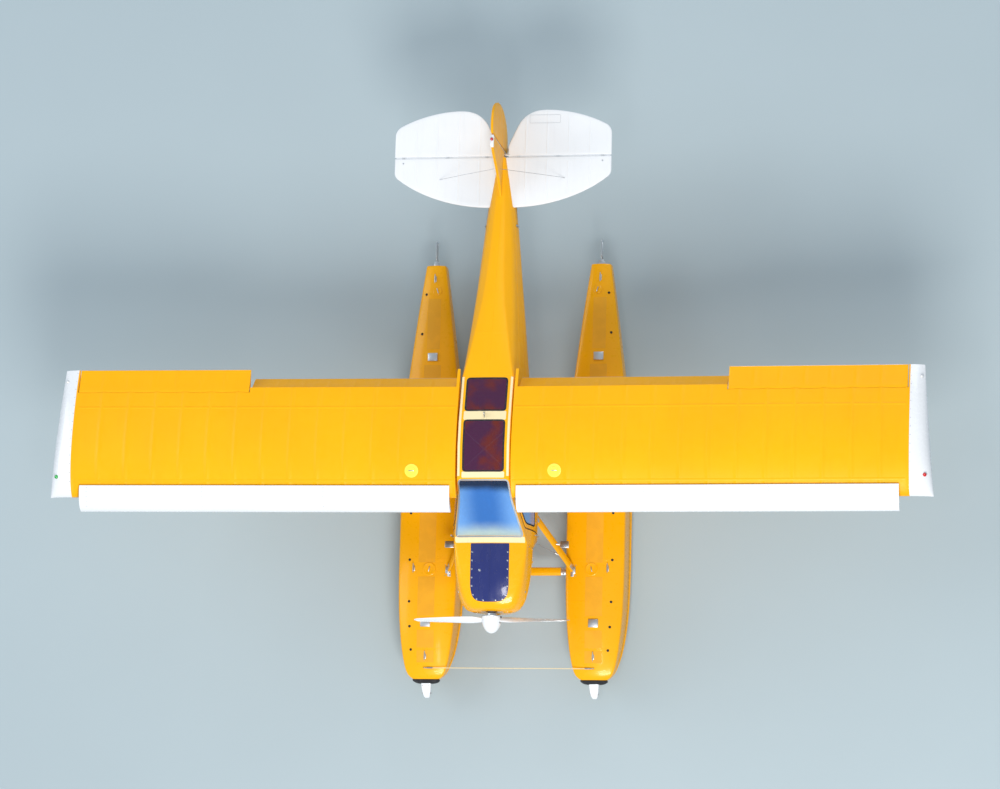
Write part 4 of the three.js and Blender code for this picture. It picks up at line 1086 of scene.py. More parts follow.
class FLOATPLANE_OT_control_surfaces(bpy.types.Operator):
    """Flaps and ailerons with their horns, tabs and trailing edge strips"""

    bl_idname = "floatplane.control_surfaces"
    bl_label = "Flaps and ailerons"

    def execute(self, context):
        covering = context.scene.floatplane_covering
        for name, spec, angle, x in (("flap", FLAP, -FLAP["down"], 420), ("aileron", AILERON, 0.0, 2980)):
            edge, drop = WING["chord"] - HINGE, spec["z"]
            piece = Piece("cloth_yellow", "aluminium", "sheet_yellow")
            piece.add(surface_skin(spec, covering))
            tree = piece.tree()
            ends = [(end, edge - 1.5, -drop) for end in (spec["from"], spec["to"])]
            piece.add(rod(*ends, 3, sides=10), 1)
            row = [(at, edge - 22) for at in range(spec["from"] + 20, spec["to"] - 10, 58)]
            rivets(piece, from_above(tree, row, 200), 0, 2.6, 6)
            horn = eased([(20, -10), (96, -12), (34, -84), (16, -84)], 10)
            piece.add(prism(horn, x - 2, x + 2), 1)
            bolt(piece, (x + 2, 27, -70), (1, 0, 0), 5, 1)
            if name == "aileron":
                piece.add(box((3560, edge - 46, -drop - 3.4), (3860, edge - 2, -drop + 0.4), 1), 2)
            piece.form.transform(hinge_frame(spec, angle))
            piece.finish_pair(f"{name}_skin", name, [name], crease=40)
        return {"FINISHED"}


# Tail surfaces: flat frames in cloth, drawn as outlines in plan or in station and height.
STABILISER = curve_points(
    (20, 5100), ((150, 5104),), ((560, 5112), (940, 5250), (1180, 5440)), ((1220, 5474), (1220, 5520)),
    ((1220, 5675),), ((20, 5675),),
)
ELEVATOR = curve_points(
    (62, 5690), ((1220, 5690),), ((1220, 5930),), ((1220, 5998), (1160, 6040)),
    ((980, 6140), (720, TAIL_END), (480, TAIL_END)), ((330, TAIL_END), (232, 6150), (176, 6050)),
    ((110, 5920), (62, 5800)),
)
FIN = curve_points(
    (TAIL_POST + 10, 1655), ((TAIL_POST + 10, FIN_TOP),), ((TAIL_POST - 60, FIN_TOP),),
    ((TAIL_POST - 120, FIN_TOP - 5), (TAIL_POST - 160, FIN_TOP - 60)),
    ((5480, 2190), (5400, 1930), (5180, 1780)), ((5180, 1655),),
)
RUDDER_FRONT = TAIL["rudder_hinge"] - 16
RUDDER = curve_points(
    (RUDDER_FRONT, TAIL["rudder_bottom"]), ((RUDDER_FRONT, FIN_TOP + 8),),
    ((RUDDER_FRONT + 90, FIN_TOP + 62), (6060, FIN_TOP + 30), (6130, 2290)),
    ((6230, 2100), (6235, 1850), (6120, 1640)),
    ((6020, 1490), (RUDDER_FRONT + 60, TAIL["rudder_bottom"])),
)


def without_doubles(points):
    kept = []
    for point in points:
        if not kept or (point - kept[-1]).length > 2:
            kept.append(point)
    if (kept[0] - kept[-1]).length < 2:
        kept.pop()
    return kept


def tail_plate(outline, axis, edge=13, crown=2.2):
    """A cloth-covered frame: rounded at its edges and a little fuller between them."""
    half = TAIL["half"]
    outline = without_doubles(outline)
    turn = {"x": lambda a, b, c: (c, a, b), "z": lambda a, b, c: (a, b, c)}[axis]
    quarter = [math.radians(18 * k) for k in range(6)]
    top = [(edge * (1 - math.cos(t)), half - crown - edge * (1 - math.sin(t))) for t in quarter]
    profile = [*top, (edge + 22, half), (edge + 25, half)]
    profile = [(inset, -height) for inset, height in reversed(profile)] + profile
    rings = [[Vector(turn(a, b, height)) for a, b in grown(outline, -inset)] for inset, height in profile]
    return loft(rings)


def rib_tapes(piece, axis, ribs, pitch=24):
    """Tape and stitching on both faces of a tail surface. A rib is its place across, start and end."""
    tree = piece.tree()
    full = TAIL["half"] - 4
    for across, start, end in ribs:
        for sign in (1, -1):
            path = [Vector((across, s, 60 * sign)) for s in range(start, end, pitch)]
            inward = Vector((0, 0, -sign))
            if axis == "x":
                path = [point.zyx for point in path]
                inward = inward.zyx
            hits = [hit for hit in on_skin(tree, path, inward) if abs(hit[0].dot(inward)) > full]
            if len(hits) > 2:
                piece.add(band(hits, 24, 1.0))
                rivets(piece, hits[1::2], 0, 2.0, 5)


class FLOATPLANE_OT_tailplane(bpy.types.Operator):
    """Stabiliser and elevator with ribs, hinges, trim tab and struts"""

    bl_idname = "floatplane.tailplane"
    bl_label = "Tailplane"

    def execute(self, context):
        lift = Matrix.Translation((0, 0, TAIL["z"]))
        plate = Piece("cloth_white", "aluminium")
        plate.add(tail_plate(STABILISER, "z"))
        rib_tapes(plate, "z", [(x, 5118, 5672) for x in (260, 500, 740, 980)])
        bracket = eased([(5655, -15), (5716, -10), (5716, 10), (5655, 15)], 6)
        for x in TAIL_HINGES:
            for dx in (-11, 9):
                plate.add(prism(bracket, x + dx, x + dx + 2), 1)
        plate.add(rod((1120, 5620, 15), (1120, 5620, 18), 9, sides=16), 1)
        plate.add(box((66, 5670, -2), (1206, 5687, 2), 0.8))
        plate.form.transform(lift)
        plate.finish_pair("stabiliser_skin", "airframe", ["stabiliser"], crease=40)

        moving = Piece("cloth_white", "aluminium")
        half = tail_plate(ELEVATOR, "z")
        other = mirrored(half)
        moving.add(half)
        moving.add(other)
        ribs = ((260, 6120), (500, 6190), (740, 6180), (980, 6120))
        rib_tapes(moving, "z", [(sign * x, 5706, end) for sign in (1, -1) for x, end in ribs])
        hinge = TAIL["hinge"]
        moving.add(rod((-98, hinge, 0), (98, hinge, 0), 15, sides=24), 1)
        for x in TAIL_HINGES:
            for sign in (1, -1):
                moving.add(rod((sign * (x - 7), hinge, 0), (sign * (x + 7), hinge, 0), 7, sides=12), 1)
        tab = eased([(300, 6060), (640, 6060), (640, 6150), (300, 6150)], 12)
        for low, high in ((15.2, 18.0), (-18.0, -15.2)):
            rim = prism(grown(tab, 2.4), low, high, "z")
            moving.add(carve(rim, prism(tab, low - 5, high + 5, "z")), 1)
        moving.add(prism(eased([(5690, -4), (5720, -4), (5712, -62), (5698, -62)], 6), 24, 30), 1)
        moving.form.transform(lift)
        moving.finish("elevator_skin", "elevator", ["elevator"], crease=40)

        stay = Piece("aluminium", "bolt_steel")
        stay.add(bar((26, 5430, 1502), (700, 5430, 1680), 34, 16, 0.1))
        stay.add(rod((697, 5430, 1660), (703, 5430, 1686), 12, sides=16), 1)
        stay.add(box((34, 5412, 1490), (72, 5448, 1520), 4), 1)
        bolt(stay, (58, 5430, 1520), UP, 6, 1)
        bolt(stay, (700, 5430, 1672), (0, -1, 0), 6, 1)
        stay.add(tube([(705, 5430, 1716), (380, 5440, 1900), (34, 5452, 2080)], 2.2, 6), 1)
        stay.finish_pair("tail_stay", "airframe", ["tail_strut"])
        return {"FINISHED"}


class FLOATPLANE_OT_fin_and_rudder(bpy.types.Operator):
    """Fin and rudder with ribs, posts, hinges and the beacon"""

    bl_idname = "floatplane.fin_and_rudder"
    bl_label = "Fin and rudder"

    def execute(self, context):
        cone = fuselage_form(TAIL_CONE, -1, 5000, CONE_END)
        fixed = Piece("cloth_yellow", "aluminium", "shell_white", "red_lens")
        bearing = rod((-60, TAIL["hinge"], TAIL["z"]), (60, TAIL["hinge"], TAIL["z"]), 17.2, sides=28)
        fixed.add(carve(tail_plate(FIN, "x"), bearing))
        rib_tapes(fixed, "x", [(1900, 5330, 5748), (2080, 5430, 5748), (2250, 5540, 5748)], 22)
        low = TAIL["rudder_bottom"] - 25
        fixed.add(carve(rod((0, TAIL_POST, low), (0, TAIL_POST, FIN_TOP - 6), 15, sides=20), cone), 1)
        fixed.add(box((-12, TAIL_POST, low - 5), (12, 5800, low + 8), 3), 1)
        pivot = TAIL["rudder_hinge"]
        fixed.add(rod((0, pivot, low), (0, pivot, TAIL["rudder_bottom"] - 0.6), 9, sides=16), 1)
        fixed.add(box((-14, 5600, low - 5), (14, TAIL_POST, low + 50), 4), 1)
        for z in (1560, 1950, 2330):
            fixed.add(box((-9, TAIL_POST, z - 4), (9, TAIL_POST + 17, z + 4), 2), 1)
        fixed.add(box((-2, 5752, 1500), (2, 5767, 2412), 0.8))
        cap = [(5610, 2398), (5640, 2424), (5750, 2424), (5758, 2398)]
        fixed.add(prism(eased(cap, 12), -19.5, 19.5, "x", 7), 2)
        beacon = [(0, 0), (17, 0), (17, 14), (13, 24), (6, 29), (0, 30)]
        fixed.add(lathe(beacon, Matrix.Translation((0, 5700, 2422))), 3)
        fixed.finish("fin_skin", "airframe", ["fin"], crease=40)

        moving = Piece("cloth_yellow", "aluminium", "sheet_yellow")
        moving.add(tail_plate(RUDDER, "x"))
        ribs = ((1640, 6090), (1820, 6160), (2000, 6185), (2180, 6160), (2340, 6060))
        rib_tapes(moving, "x", [(z, 5786, end) for z, end in ribs])
        moving.add(box((-1.2, 6150, 1930), (1.2, 6206, 2080), 0.4), 2)
        for sign in (1, -1):
            horn = [(sign * 12, 5778), (sign * 86, 5790), (sign * 86, 5806), (sign * 12, 5830)]
            moving.add(prism(eased(horn, 6), 1512, 1516, "z"), 1)
            bolt(moving, (sign * 78, 5797, 1516), UP, 4, 1)
        moving.finish("rudder_skin", "rudder", ["rudder"], crease=40)
        return {"FINISHED"}


# The fuselage: half width and height of the bottom corner, elbow, shoulder and top edge, and the
# crown's rise.
FIREWALL, CABIN_END, CONE_END = 1326, 3100, 5665
CABIN = [
    (FIREWALL, 330, 1180, 440, 1620, 405, 1842, 398, 1862, 33),
    (1450, 390, 1120, 470, 1620, 379, 1957, 372, 1977, 33),
    (1744, 390, 1120, 470, 1620, 305, 2230, 298, 2250, 30),
    (1949, 390, 1120, 470, 1620, 300, 2250, 289.6, 2436, 14),
    (2300, 388, 1120, 468, 1620, 300, 2250, 289.6, 2456, 14),
    (2577, 354, 1149, 428, 1626, 298, 2248, 289.6, 2422, 14),
    (CABIN_END, 290, 1210, 345, 1640, 292, 2232, 280, 2284, 14),
]
TAIL_CONE = [
    CABIN[-1],
    (3300, 277, 1234, 330, 1636, 272, 2172, 236, 2238, 18),
    (4080, 215, 1330, 265, 1622, 208, 1950, 120, 2034, 26),
    (5100, 120, 1455, 165, 1622, 120, 1752, 60, 1800, 14),
    (CONE_END, 35, 1500, 48, 1632, 40, 1735, 22, 1762, 6),
]
COWL = [
    (604, 140, 1400, 262, 1600, 205, 1722, 165, 1758, 26),
    (640, 185, 1335, 318, 1600, 258, 1752, 215, 1795, 30),
    (730, 240, 1265, 372, 1602, 316, 1782, 268, 1826, 36),
    (900, 290, 1212, 410, 1608, 362, 1808, 325, 1846, 38),
    (1120, 320, 1186, 432, 1616, 392, 1828, 370, 1856, 36),
    CABIN[0],
]


def row_at(table, station, smooth):
    """A table's row at any station, by straight lines or by smooth curves between its rows."""
    index = 0
    while index < len(table) - 2 and table[index + 1][0] < station:
        index += 1
    low, high = table[index], table[index + 1]
    span = high[0] - low[0]
    share = (station - low[0]) / span
    if not smooth:
        return [a + (b - a) * share for a, b in zip(low, high)]

    def slope(j, column):
        before, after = table[max(j - 1, 0)], table[min(j + 1, len(table) - 1)]
        return (after[column] - before[column]) / (after[0] - before[0])

    cubic, square = share**3, share**2
    row = [station]
    for k in range(1, len(low)):
        row.append(
            (2 * cubic - 3 * square + 1) * low[k] + (cubic - 2 * square + share) * span * slope(index, k)
            + (3 * square - 2 * cubic) * high[k] + (cubic - square) * span * slope(index + 1, k)
        )
    return row


def between(table, stations, low, high, share):
    """Places in station and height, at a share of the way from one column of a table to another."""
    rows = [row_at(table, station, True) for station in stations]
    return [(row[0], row[low] + (row[high] - row[low]) * share) for row in rows]


# How far each corner's rounding reaches, and the share of an inset that it loses.
ROUNDING = ((0, 0), (50, 0.85), (260, 0.2), (60, 0.1), (30, 0.8))


def fuselage_ring(row, inset):
    """A mirrored section whose corners are rounded as bent sheet is."""
    station, bottom_w, bottom_z, elbow_w, elbow_z, shoulder_w, shoulder_z, top_w, top_z, crown = row
    edge_w, edge_z = top_w - inset, top_z - inset
    half = eased(
        [
            (0, bottom_z + inset), (bottom_w - 0.9 * inset, bottom_z + inset), (elbow_w - inset, elbow_z),
            (shoulder_w - 0.75 * inset, shoulder_z - inset), (edge_w, edge_z),
            (edge_w * 0.86, edge_z + crown * 0.32), (edge_w * 0.72, edge_z + crown * 0.55),
            (edge_w * 0.55, edge_z + crown * 0.75), (edge_w * 0.38, edge_z + crown * 0.88),
            (edge_w * 0.2, edge_z + crown * 0.97), (0, edge_z + crown),
        ],
        [reach and reach - loss * inset for reach, loss in ROUNDING] + [0] * 6, 5, loop=False,
    )
    left = [Vector((x, station, z)) for x, z in half]
    return left + [Vector((-p.x, p.y, p.z)) for p in reversed(left[1:-1])]


def fuselage_form(table, inset, start, end, smooth=False, pitch=90):
    knots = [start, *([] if smooth else [row[0] for row in table if start < row[0] < end]), end]
    stations = [start]
    for low, high in zip(knots, knots[1:]):
        count = max(1, round((high - low) / pitch))
        stations += [low + (high - low) * (i + 1) / count for i in range(count)]
    return loft([fuselage_ring([s, *row_at(table, s, smooth)[1:]], inset) for s in stations])


WINDSCREEN = [(358, 1400), (347, 1450), (274, 1744), (262, 1925)]
SKYLIGHTS = {"front": (2034, 2577), "rear": (2704, 3060)}
SKYLIGHT_HALF = 212
DOOR = [(1490, 1185), (2240, 1185), (2240, 2215), (1800, 2215), (1490, 1925)]
DOOR_WINDOW = [(1550, 1655), (2185, 1655), (2185, 2165), (1826, 2165), (1550, 1906)]
REAR_WINDOW = [(2310, 1700), (2560, 1700), (2980, 2080), (2980, 2170), (2310, 2170)]
KNUCKLES = (1850, 2150)
PANE_GAP = 0.6
PANE = 5


def symmetric(half):
    return list(half) + [(-x, s) for x, s in reversed(half)]


def roof_outline(name):
    start, end = SKYLIGHTS[name]
    return eased(symmetric([(SKYLIGHT_HALF, start), (SKYLIGHT_HALF, end)]), 26)


def windscreen_outline():
    return eased(symmetric(WINDSCREEN), [24, 0, 60, 26, 26, 60, 0, 24])


def skin_patch(table, cutter, proud, depth, start, end):
    """The part of the fuselage's skin inside a cutter, from proud of the surface to a depth below it."""
    outer = fuselage_form(table, -proud, start, end)
    return carve(carve(outer, cutter, keep="INTERSECT"), fuselage_form(table, depth, start - 5, end + 5))


def seal(piece, tree, outline, side, pitch, width, thickness, finish, offset):
    """A strip round an opening, laid on the skin: on the roof where side is 0, or else on that side."""
    path = spaced_path(grown(outline, offset), pitch, loop=True)
    hits = from_side(tree, path, side) if side else from_above(tree, path)
    piece.add(band(hits, width, thickness, loop=True), finish)


class FLOATPLANE_OT_cabin(bpy.types.Operator):
    """Cabin shell with its openings, seals, seams, rivets, handles and roof strips"""

    bl_idname = "floatplane.cabin"
    bl_label = "Cabin"

    def execute(self, context):
        pitch = context.scene.floatplane_rivets.pitch * 1000
        outer = fuselage_form(CABIN, 0, FIREWALL, CABIN_END)
        tree = BVHTree.FromBMesh(outer)
        side_cuts = []
        for outline, soft in ((DOOR, 34), (REAR_WINDOW, 46)):
            cut = prism(eased(outline, soft), 240, 900)
            side_cuts += [cut, mirrored(cut)]
        for start in KNUCKLES:
            notch = box((298, start - 0.4, 2205), (351, start + 40.4, 2238))
            side_cuts += [notch, mirrored(notch)]
        roof_cuts = [prism(windscreen_outline(), 1800, 3000, "z")]
        roof_cuts += [prism(roof_outline(name), 2240, 3000, "z") for name in SKYLIGHTS]
        room = fuselage_form(CABIN, 25, FIREWALL + 25, CABIN_END - 25)
        piece = Piece("sheet_yellow", "rubber", "aluminium", "cream_trim", "bolt_steel")
        piece.add(carve(outer, room, *roof_cuts, *side_cuts))
        seal(piece, tree, windscreen_outline(), 0, 28, 20, 2.4, 2, 9)
        for name in SKYLIGHTS:
            seal(piece, tree, roof_outline(name), 0, 28, 18, 2.4, 1, 8)
        # Rivet rows: the firewall, the door posts, the rear frame and both longerons.
        rows = [
            [(1342, 1200), (1342, 1840)], [(1470, 1160), (1470, 1900)], [(2262, 1160), (2262, 1640)],
            [(2640, 1190), (2640, 1690)], [(3082, 1230), (3082, 2200)], [(1360, 1192), (2240, 1150)],
            [(2262, 1150), (3070, 1225)], [(2280, 1640), (3070, 1650)], [(2600, 2210), (3070, 2205)],
            [(1352, 1620), (1468, 1620)],
        ]
        braces = [[(2262, 1420), (3082, 1480)], [(2640, 1500), (3082, 1240)]]
        for sign in (1, -1):
            seal(piece, tree, eased(REAR_WINDOW, 46), sign, 26, 17, 3.0, 1, 8)
            seal(piece, tree, eased(DOOR, 34), sign, 30, 8, 1.6, 1, 5)
            for start, end in rows:
                rivets(piece, from_side(tree, spaced(start, end, pitch), sign))
            for start, end in braces:
                rivets(piece, from_side(tree, spaced(start, end, pitch * 1.4), sign))
            # Strip along the roof's edge, where the wing's root meets the cabin.
            edge = from_above(tree, [(268 * sign, s) for s in range(1975, 3086, 37)])
            piece.add(band(edge, 26, 2.2), 3)
            rivets(piece, from_above(tree, [(250 * sign, s) for s in range(1985, 3080, 60)]), 4, 3)
            # Boarding handle ahead of the door.
            grip = [(sign * x, 1444, z) for x, z in ((455, 1560), (478, 1572), (478, 1668), (455, 1680))]
            piece.add(tube(eased(grip, 12, loop=False), 6, 10), 2)
        for s, half, width in ((1362, 384, 30), (2640, 232, 50), (1988, 232, 33)):
            strip = prism(eased(symmetric([(half, s - width), (half, s + width)]), 14), 1700, 3000, "z")
            piece.add(skin_patch(CABIN, strip, 1.6, 3, 1330, 3095), 3)
            for x in range(24 - half, half, 58):
                rivets(piece, from_above(tree, [(x, s - width + 9), (x, s + width - 9)]), 4, 3)
        # A blade aerial on the roof.
        foot, _ = from_above(tree, [(0, 2640)])[0]
        blade = prism(eased([(-34, 0), (34, 0), (26, 62), (4, 66)], 8), -5, 5, "x", 3)
        piece.add(blade, 2, Matrix.Translation(foot))
        piece.finish("cabin_skin", "airframe", ["cabin_shell"], crease=30)
        return {"FINISHED"}


class FLOATPLANE_OT_glazing(bpy.types.Operator):
    """Windscreen, roof panes and side windows"""

    bl_idname = "floatplane.glazing"
    bl_label = "Glazing"

    def execute(self, context):
        pane = Piece("clear_pane")
        cut = prism(grown(windscreen_outline(), -PANE_GAP), 1800, 3000, "z")
        pane.add(skin_patch(CABIN, cut, 0, PANE, 1335, 2200))
        pane.finish("windscreen_pane", "airframe", ["windscreen"], crease=50)
        for name in SKYLIGHTS:
            pane = Piece("smoked_pane")
            cut = prism(grown(roof_outline(name), -PANE_GAP), 2240, 3000, "z")
            pane.add(skin_patch(CABIN, cut, 0, PANE, 1960, 3090))
            pane.finish(f"roof_pane_{name}", "airframe", [f"skylight_{name}"], crease=50)
        for name, outline, body in (("door", DOOR_WINDOW, "door"), ("rear", REAR_WINDOW, "airframe")):
            pane = Piece("clear_pane")
            cut = prism(grown(eased(outline, 46), -PANE_GAP), 240, 900)
            pane.add(skin_patch(CABIN, cut, 0, PANE, 1340, 3090))
            pane.finish_pair(f"{name}_pane", body, [f"{name}_window"], crease=50)
        return {"FINISHED"}


class FLOATPLANE_OT_doors(bpy.types.Operator):
    """Doors that lift on top hinges, with window seals, latches and an inner handle"""

    bl_idname = "floatplane.doors"
    bl_label = "Doors"

    def execute(self, context):
        outline = [(1496, 1191), (2234, 1191), (2234, 2209), (1814, 2209), (1496, 1911)]
        skin = fuselage_form(CABIN, 0, 1400, 2400)
        tree = BVHTree.FromBMesh(skin)
        inner = fuselage_form(CABIN, 23, 1390, 2410)
        door = carve(skin, prism(eased(outline, 30), 240, 900), keep="INTERSECT")
        hole = eased(DOOR_WINDOW, 46)
        piece = Piece("sheet_yellow", "rubber", "aluminium", "bolt_steel", "crackle_black")
        piece.add(carve(door, inner, prism(hole, 200, 900)))
        seal(piece, tree, hole, 1, 26, 17, 3.0, 1, 8)
        seal(piece, tree, eased(outline, 30), 1, 40, 11, 1.4, 0, -9)
        for start, end in (
            ((1512, 1225), (2218, 1225)), ((1512, 1240), (1512, 1620)), ((2218, 1240), (2218, 2150)),
            ((1525, 1618), (2205, 1618)), ((1540, 1420), (2200, 1420)),
        ):
            rivets(piece, from_side(tree, spaced(start, end, 48), 1))
        for start in KNUCKLES:
            piece.add(rod((311, start, 2224), (311, start + 40, 2224), 8, sides=20), 2)
            piece.add(box((304, start, 2199), (312, start + 40, 2224), 1), 2)
        # Latch: a round recess plate with a turning lever, and the lock ahead of it.
        place = set_on(tree, (900, 2150, 1560), (-1, 0, 0))
        piece.add(lathe([(0, -2), (42, -2), (42, 1.6), (36, 3), (0, 3)], place, 36), 2)
        piece.add(lathe([(0, 2), (14, 2), (14, 9), (10, 13), (0, 13)], place, 24), 3)
        piece.add(box((-9, -6, 8), (9, 66, 14), 3), 3, place)
        place = set_on(tree, (900, 1600, 1560), (-1, 0, 0))
        piece.add(lathe([(0, -1), (9, -1), (9, 3), (0, 3)], place, 20), 3)
        # Inner handle.
        grip = [(428, 1700, 1500), (410, 1700, 1500), (410, 1900, 1500), (428, 1900, 1500)]
        piece.add(tube(eased(grip, 14, loop=False), 7, 10), 4)
        piece.finish_pair("door_skin", "door", ["door"], crease=30)
        return {"FINISHED"}


class FLOATPLANE_OT_tail_cone(bpy.types.Operator):
    """Rear fuselage in cloth over stringers, with its tapes, cable exits, inspection rings and tie-down"""

    bl_idname = "floatplane.tail_cone"
    bl_label = "Rear fuselage"

    def execute(self, context):
        piece = Piece("cloth_yellow", "aluminium", "bolt_steel")
        piece.add(fuselage_form(TAIL_CONE, 0, CABIN_END + 0.4, CONE_END, smooth=True))
        tree = piece.tree()
        for sign in (1, -1):
            for share in (0.2, 0.5, 0.8):
                stringer = between(TAIL_CONE, range(3112, 5600, 55), 2, 6, share)
                piece.add(band(from_side(tree, stringer, sign, 600), 20, 1.6))
            for s in (3116, 3600, 4080, 4590, 5100, 5420):
                row = row_at(TAIL_CONE, s, True)
                former = [(s, z) for z in range(int(row[2]) + 22, int(row[6]) - 8, 24)]
                hits = from_side(tree, former, sign, 600)
                piece.add(band(hits, 26, 1.1))
                rivets(piece, hits[::2], 0, 2.4, 5)
            # The rudder cable leaves the cone through a scoop and ends at the rudder's horn.
            place, normal = from_side(tree, [(4900, 1660)], sign, 600)[0]
            scoop = lathe([(0, 0), (15, 0), (11, 12), (0, 14)], pointing(place, normal) @ SCOOP, 20)
            piece.add(scoop, 1)
            piece.add(rod(place + normal * 8, (sign * 84, 5796, 1514), 1.6, sides=6), 2)
        for s in (3116, 3600, 4080, 4590, 5000):
            half = int(row_at(TAIL_CONE, s, True)[7]) - 6
            former = from_above(tree, [(x, s) for x in range(-half, half + 1, 14)])
            piece.add(band(former, 26, 1.1))
        ridge = from_above(tree, [(0, s) for s in range(3120, 5160, 60)])
        piece.add(band(ridge, 30, 1.2))
        for x, s in ((180, 3400), (-180, 3400), (120, 4300), (-120, 4300)):
            ring = [(*place, 900) for place in circle(x, s, 46, 24)]
            piece.add(band(on_skin(tree, ring, UP), 9, 1.8, loop=True))
        eye = on_skin(tree, [(0, 5320, 900)], UP)[0][0]
        loop = [eye + Vector((0, a, b - 14)) for a, b in circle(0, 0, 22, 20)]
        piece.add(tube(loop, 5, 10, loop=True, up=(1, 0, 0)), 2)
        piece.finish("tail_cone_skin", "airframe", ["tail_cone"], crease=34)
        return {"FINISHED"}


SHAFT = 1670
INLETS = ((168, 1655, 50), (-168, 1655, 50), (0, 1478, 66))
TOP_COVER = [(212, 1340), (212, 860), (196, 760), (150, 706), (70, 692)]
SCOOP = Matrix.Diagonal((1, 3.2, 1, 1))
LOUVRE = Matrix.Diagonal((1, 8.0, 1, 1))


def cowl_form(inset, start, end):
    """The cowl's skin. Its first rings draw in, so the nose bowl is rounded."""
    stations = [start, start + 3, start + 9, start + 18, start + 32]
    draw = [26, 17, 8, 3, 0]
    count = 12
    stations += [start + 32 + (end - start - 32) * i / count for i in range(1, count + 1)]
    draw += [0] * count
    return loft([
        fuselage_ring([s, *row_at(COWL, s, True)[1:]], inset + d) for s, d in zip(stations, draw)
    ])


class FLOATPLANE_OT_cowl(bpy.types.Operator):
    """Cowl with its inlets, seams, fasteners, louvres, oil door and dark anti-glare cover"""

    bl_idname = "floatplane.cowl"
    bl_label = "Cowl"

    def execute(self, context):
        outer = cowl_form(0, 604, FIREWALL - 0.4)
        tree = BVHTree.FromBMesh(outer)
        cover = symmetric(TOP_COVER)
        holes = [rod((x, 560, z), (x, 660, z), r, sides=40) for x, z, r in INLETS]
        holes.append(rod((0, 540, SHAFT), (0, 680, SHAFT), 70, sides=44))
        holes.append(box((-170, 1130, 1100), (170, 1296, 1300), 14))
        holes.append(prism(eased(cover, 30), 1700, 2400, "z"))
        piece = Piece("shell_yellow", "bolt_steel", "aluminium")
        piece.add(carve(outer.copy(), cowl_form(9, 613, 1345), *holes))
        for x, z, r in INLETS:
            lip = [(a, 606, b) for a, b in circle(x, z, r + 3, 36)]
            piece.add(tube(lip, 5.5, 10, loop=True, up=(0, 1, 0)))
        seams = (
            ([(s, 1606) for s in range(640, 1324, 24)], 26),
            ([(1302, z) for z in range(1200, 1836, 20)], 30),
        )
        for sign in (1, -1):
            for path, width in seams:
                hits = from_side(tree, path, sign)
                piece.add(band(hits, width, 1.4))
                fasteners(piece, hits[1::4])
            for z in range(1380, 1540, 32):
                louvre = lathe([(0, 0), (9, 0), (8, 5), (4.5, 8.5), (0, 9.5)], LOUVRE, 16)
                piece.add(louvre, 0, set_on(tree, (900 * sign, 1170, z), (-sign, 0, 0)))
            latch = set_on(tree, (900 * sign, 820, 1700), (-sign, 0, 0))
            piece.add(lathe([(0, -1), (11, -1), (11, 3), (7, 5), (0, 5)], latch, 20), 2)
        chin = [(x, 700, 900) for x in range(-200, 201, 25)]
        piece.add(band(on_skin(tree, chin, UP), 24, 1.4))
        piece.finish("cowl_skin", "airframe", ["cowl"], crease=34)

        dark = Piece("anti_glare", "bolt_steel")
        inner = cowl_form(7, 611, 1345)
        smaller = prism(grown(eased(cover, 30), -1.2), 1690, 2400, "z")
        dark.add(carve(carve(outer, smaller, keep="INTERSECT"), inner))
        edge = spaced_path(grown(cover, -16), 92, loop=True)
        fasteners(dark, from_above(tree, [(x, s) for x, s in edge if s < 1322]))
        door = eased([(-168, 1010), (-52, 1010), (-52, 1130), (-168, 1130)], 18)
        dark.add(band(from_above(tree, spaced_path(door, 14, loop=True)), 7, 1.6, loop=True))
        button = set_on(tree, (-110, 1032, 3000), DOWN)
        dark.add(lathe([(0, -1), (13, -1), (13, 2), (10, 3), (0, 3)], button, 20), 1)
        ridge = from_above(tree, [(0, s) for s in range(712, 1320, 38)])
        dark.add(band(ridge, 12, 3.0))
        dark.finish("cowl_top_cover", "airframe", ["cowl_top_panel"], crease=34)

        pipe = Piece("steel_pipe")
        bends = ((90, 1190, 1290), (92, 1210, 1180), (96, 1286, 1104))
        route = curve_points((90, 1190, 1424), bends, steps=18)
        end, before = route[-1], route[-2]
        mouth = pointing(end, end - before)
        bore = lathe([(0, -70), (22, -70), (23.6, 9), (0, 9)], mouth, 28)
        pipe.add(carve(tube(route, 26.5, 24, up=(1, 0, 0)), bore))
        pipe.add(lathe([(26, -16), (28, -16), (28, 0), (24, 0), (24, -2), (26, -16)], mouth, 28))
        pipe.finish("tail_pipe", "airframe", ["exhaust_pipe"], crease=40)
        return {"FINISHED"}


# The blade: at each radius its chord, thickness and pitch in degrees.
BLADE = [
    (30, 52, 46, 60), (110, 62, 36, 48), (220, 104, 22, 36), (400, 118, 15, 26),
    (600, 108, 11, 20), (780, 84, 8, 16), (860, 46, 5, 14),
]
SPINNER = {"rear": 549.6, "tip": 369, "radius": 112}


def blade_rings(count=30):
    rings = []
    for i in range(count + 1):
        radius = 30 + 828 * math.sin(math.pi / 2 * i / count)
        _, chord, thickness, pitch = row_at(BLADE, radius, True)
        tip = min(1.0, math.sqrt(max(0.0, (860 - radius) / 34)) + 0.12)
        cos, sin = math.cos(math.radians(pitch)), math.sin(math.radians(pitch))
        ring = []
        for t in turns(24):
            across = math.cos(t) * chord / 2 * tip
            high = math.sin(t) * thickness / 2 * (1 - 0.25 * math.cos(t)) * tip
            ring.append(Vector((radius, high * cos - across * sin, across * cos + high * sin)))
        rings.append(ring)
    return rings


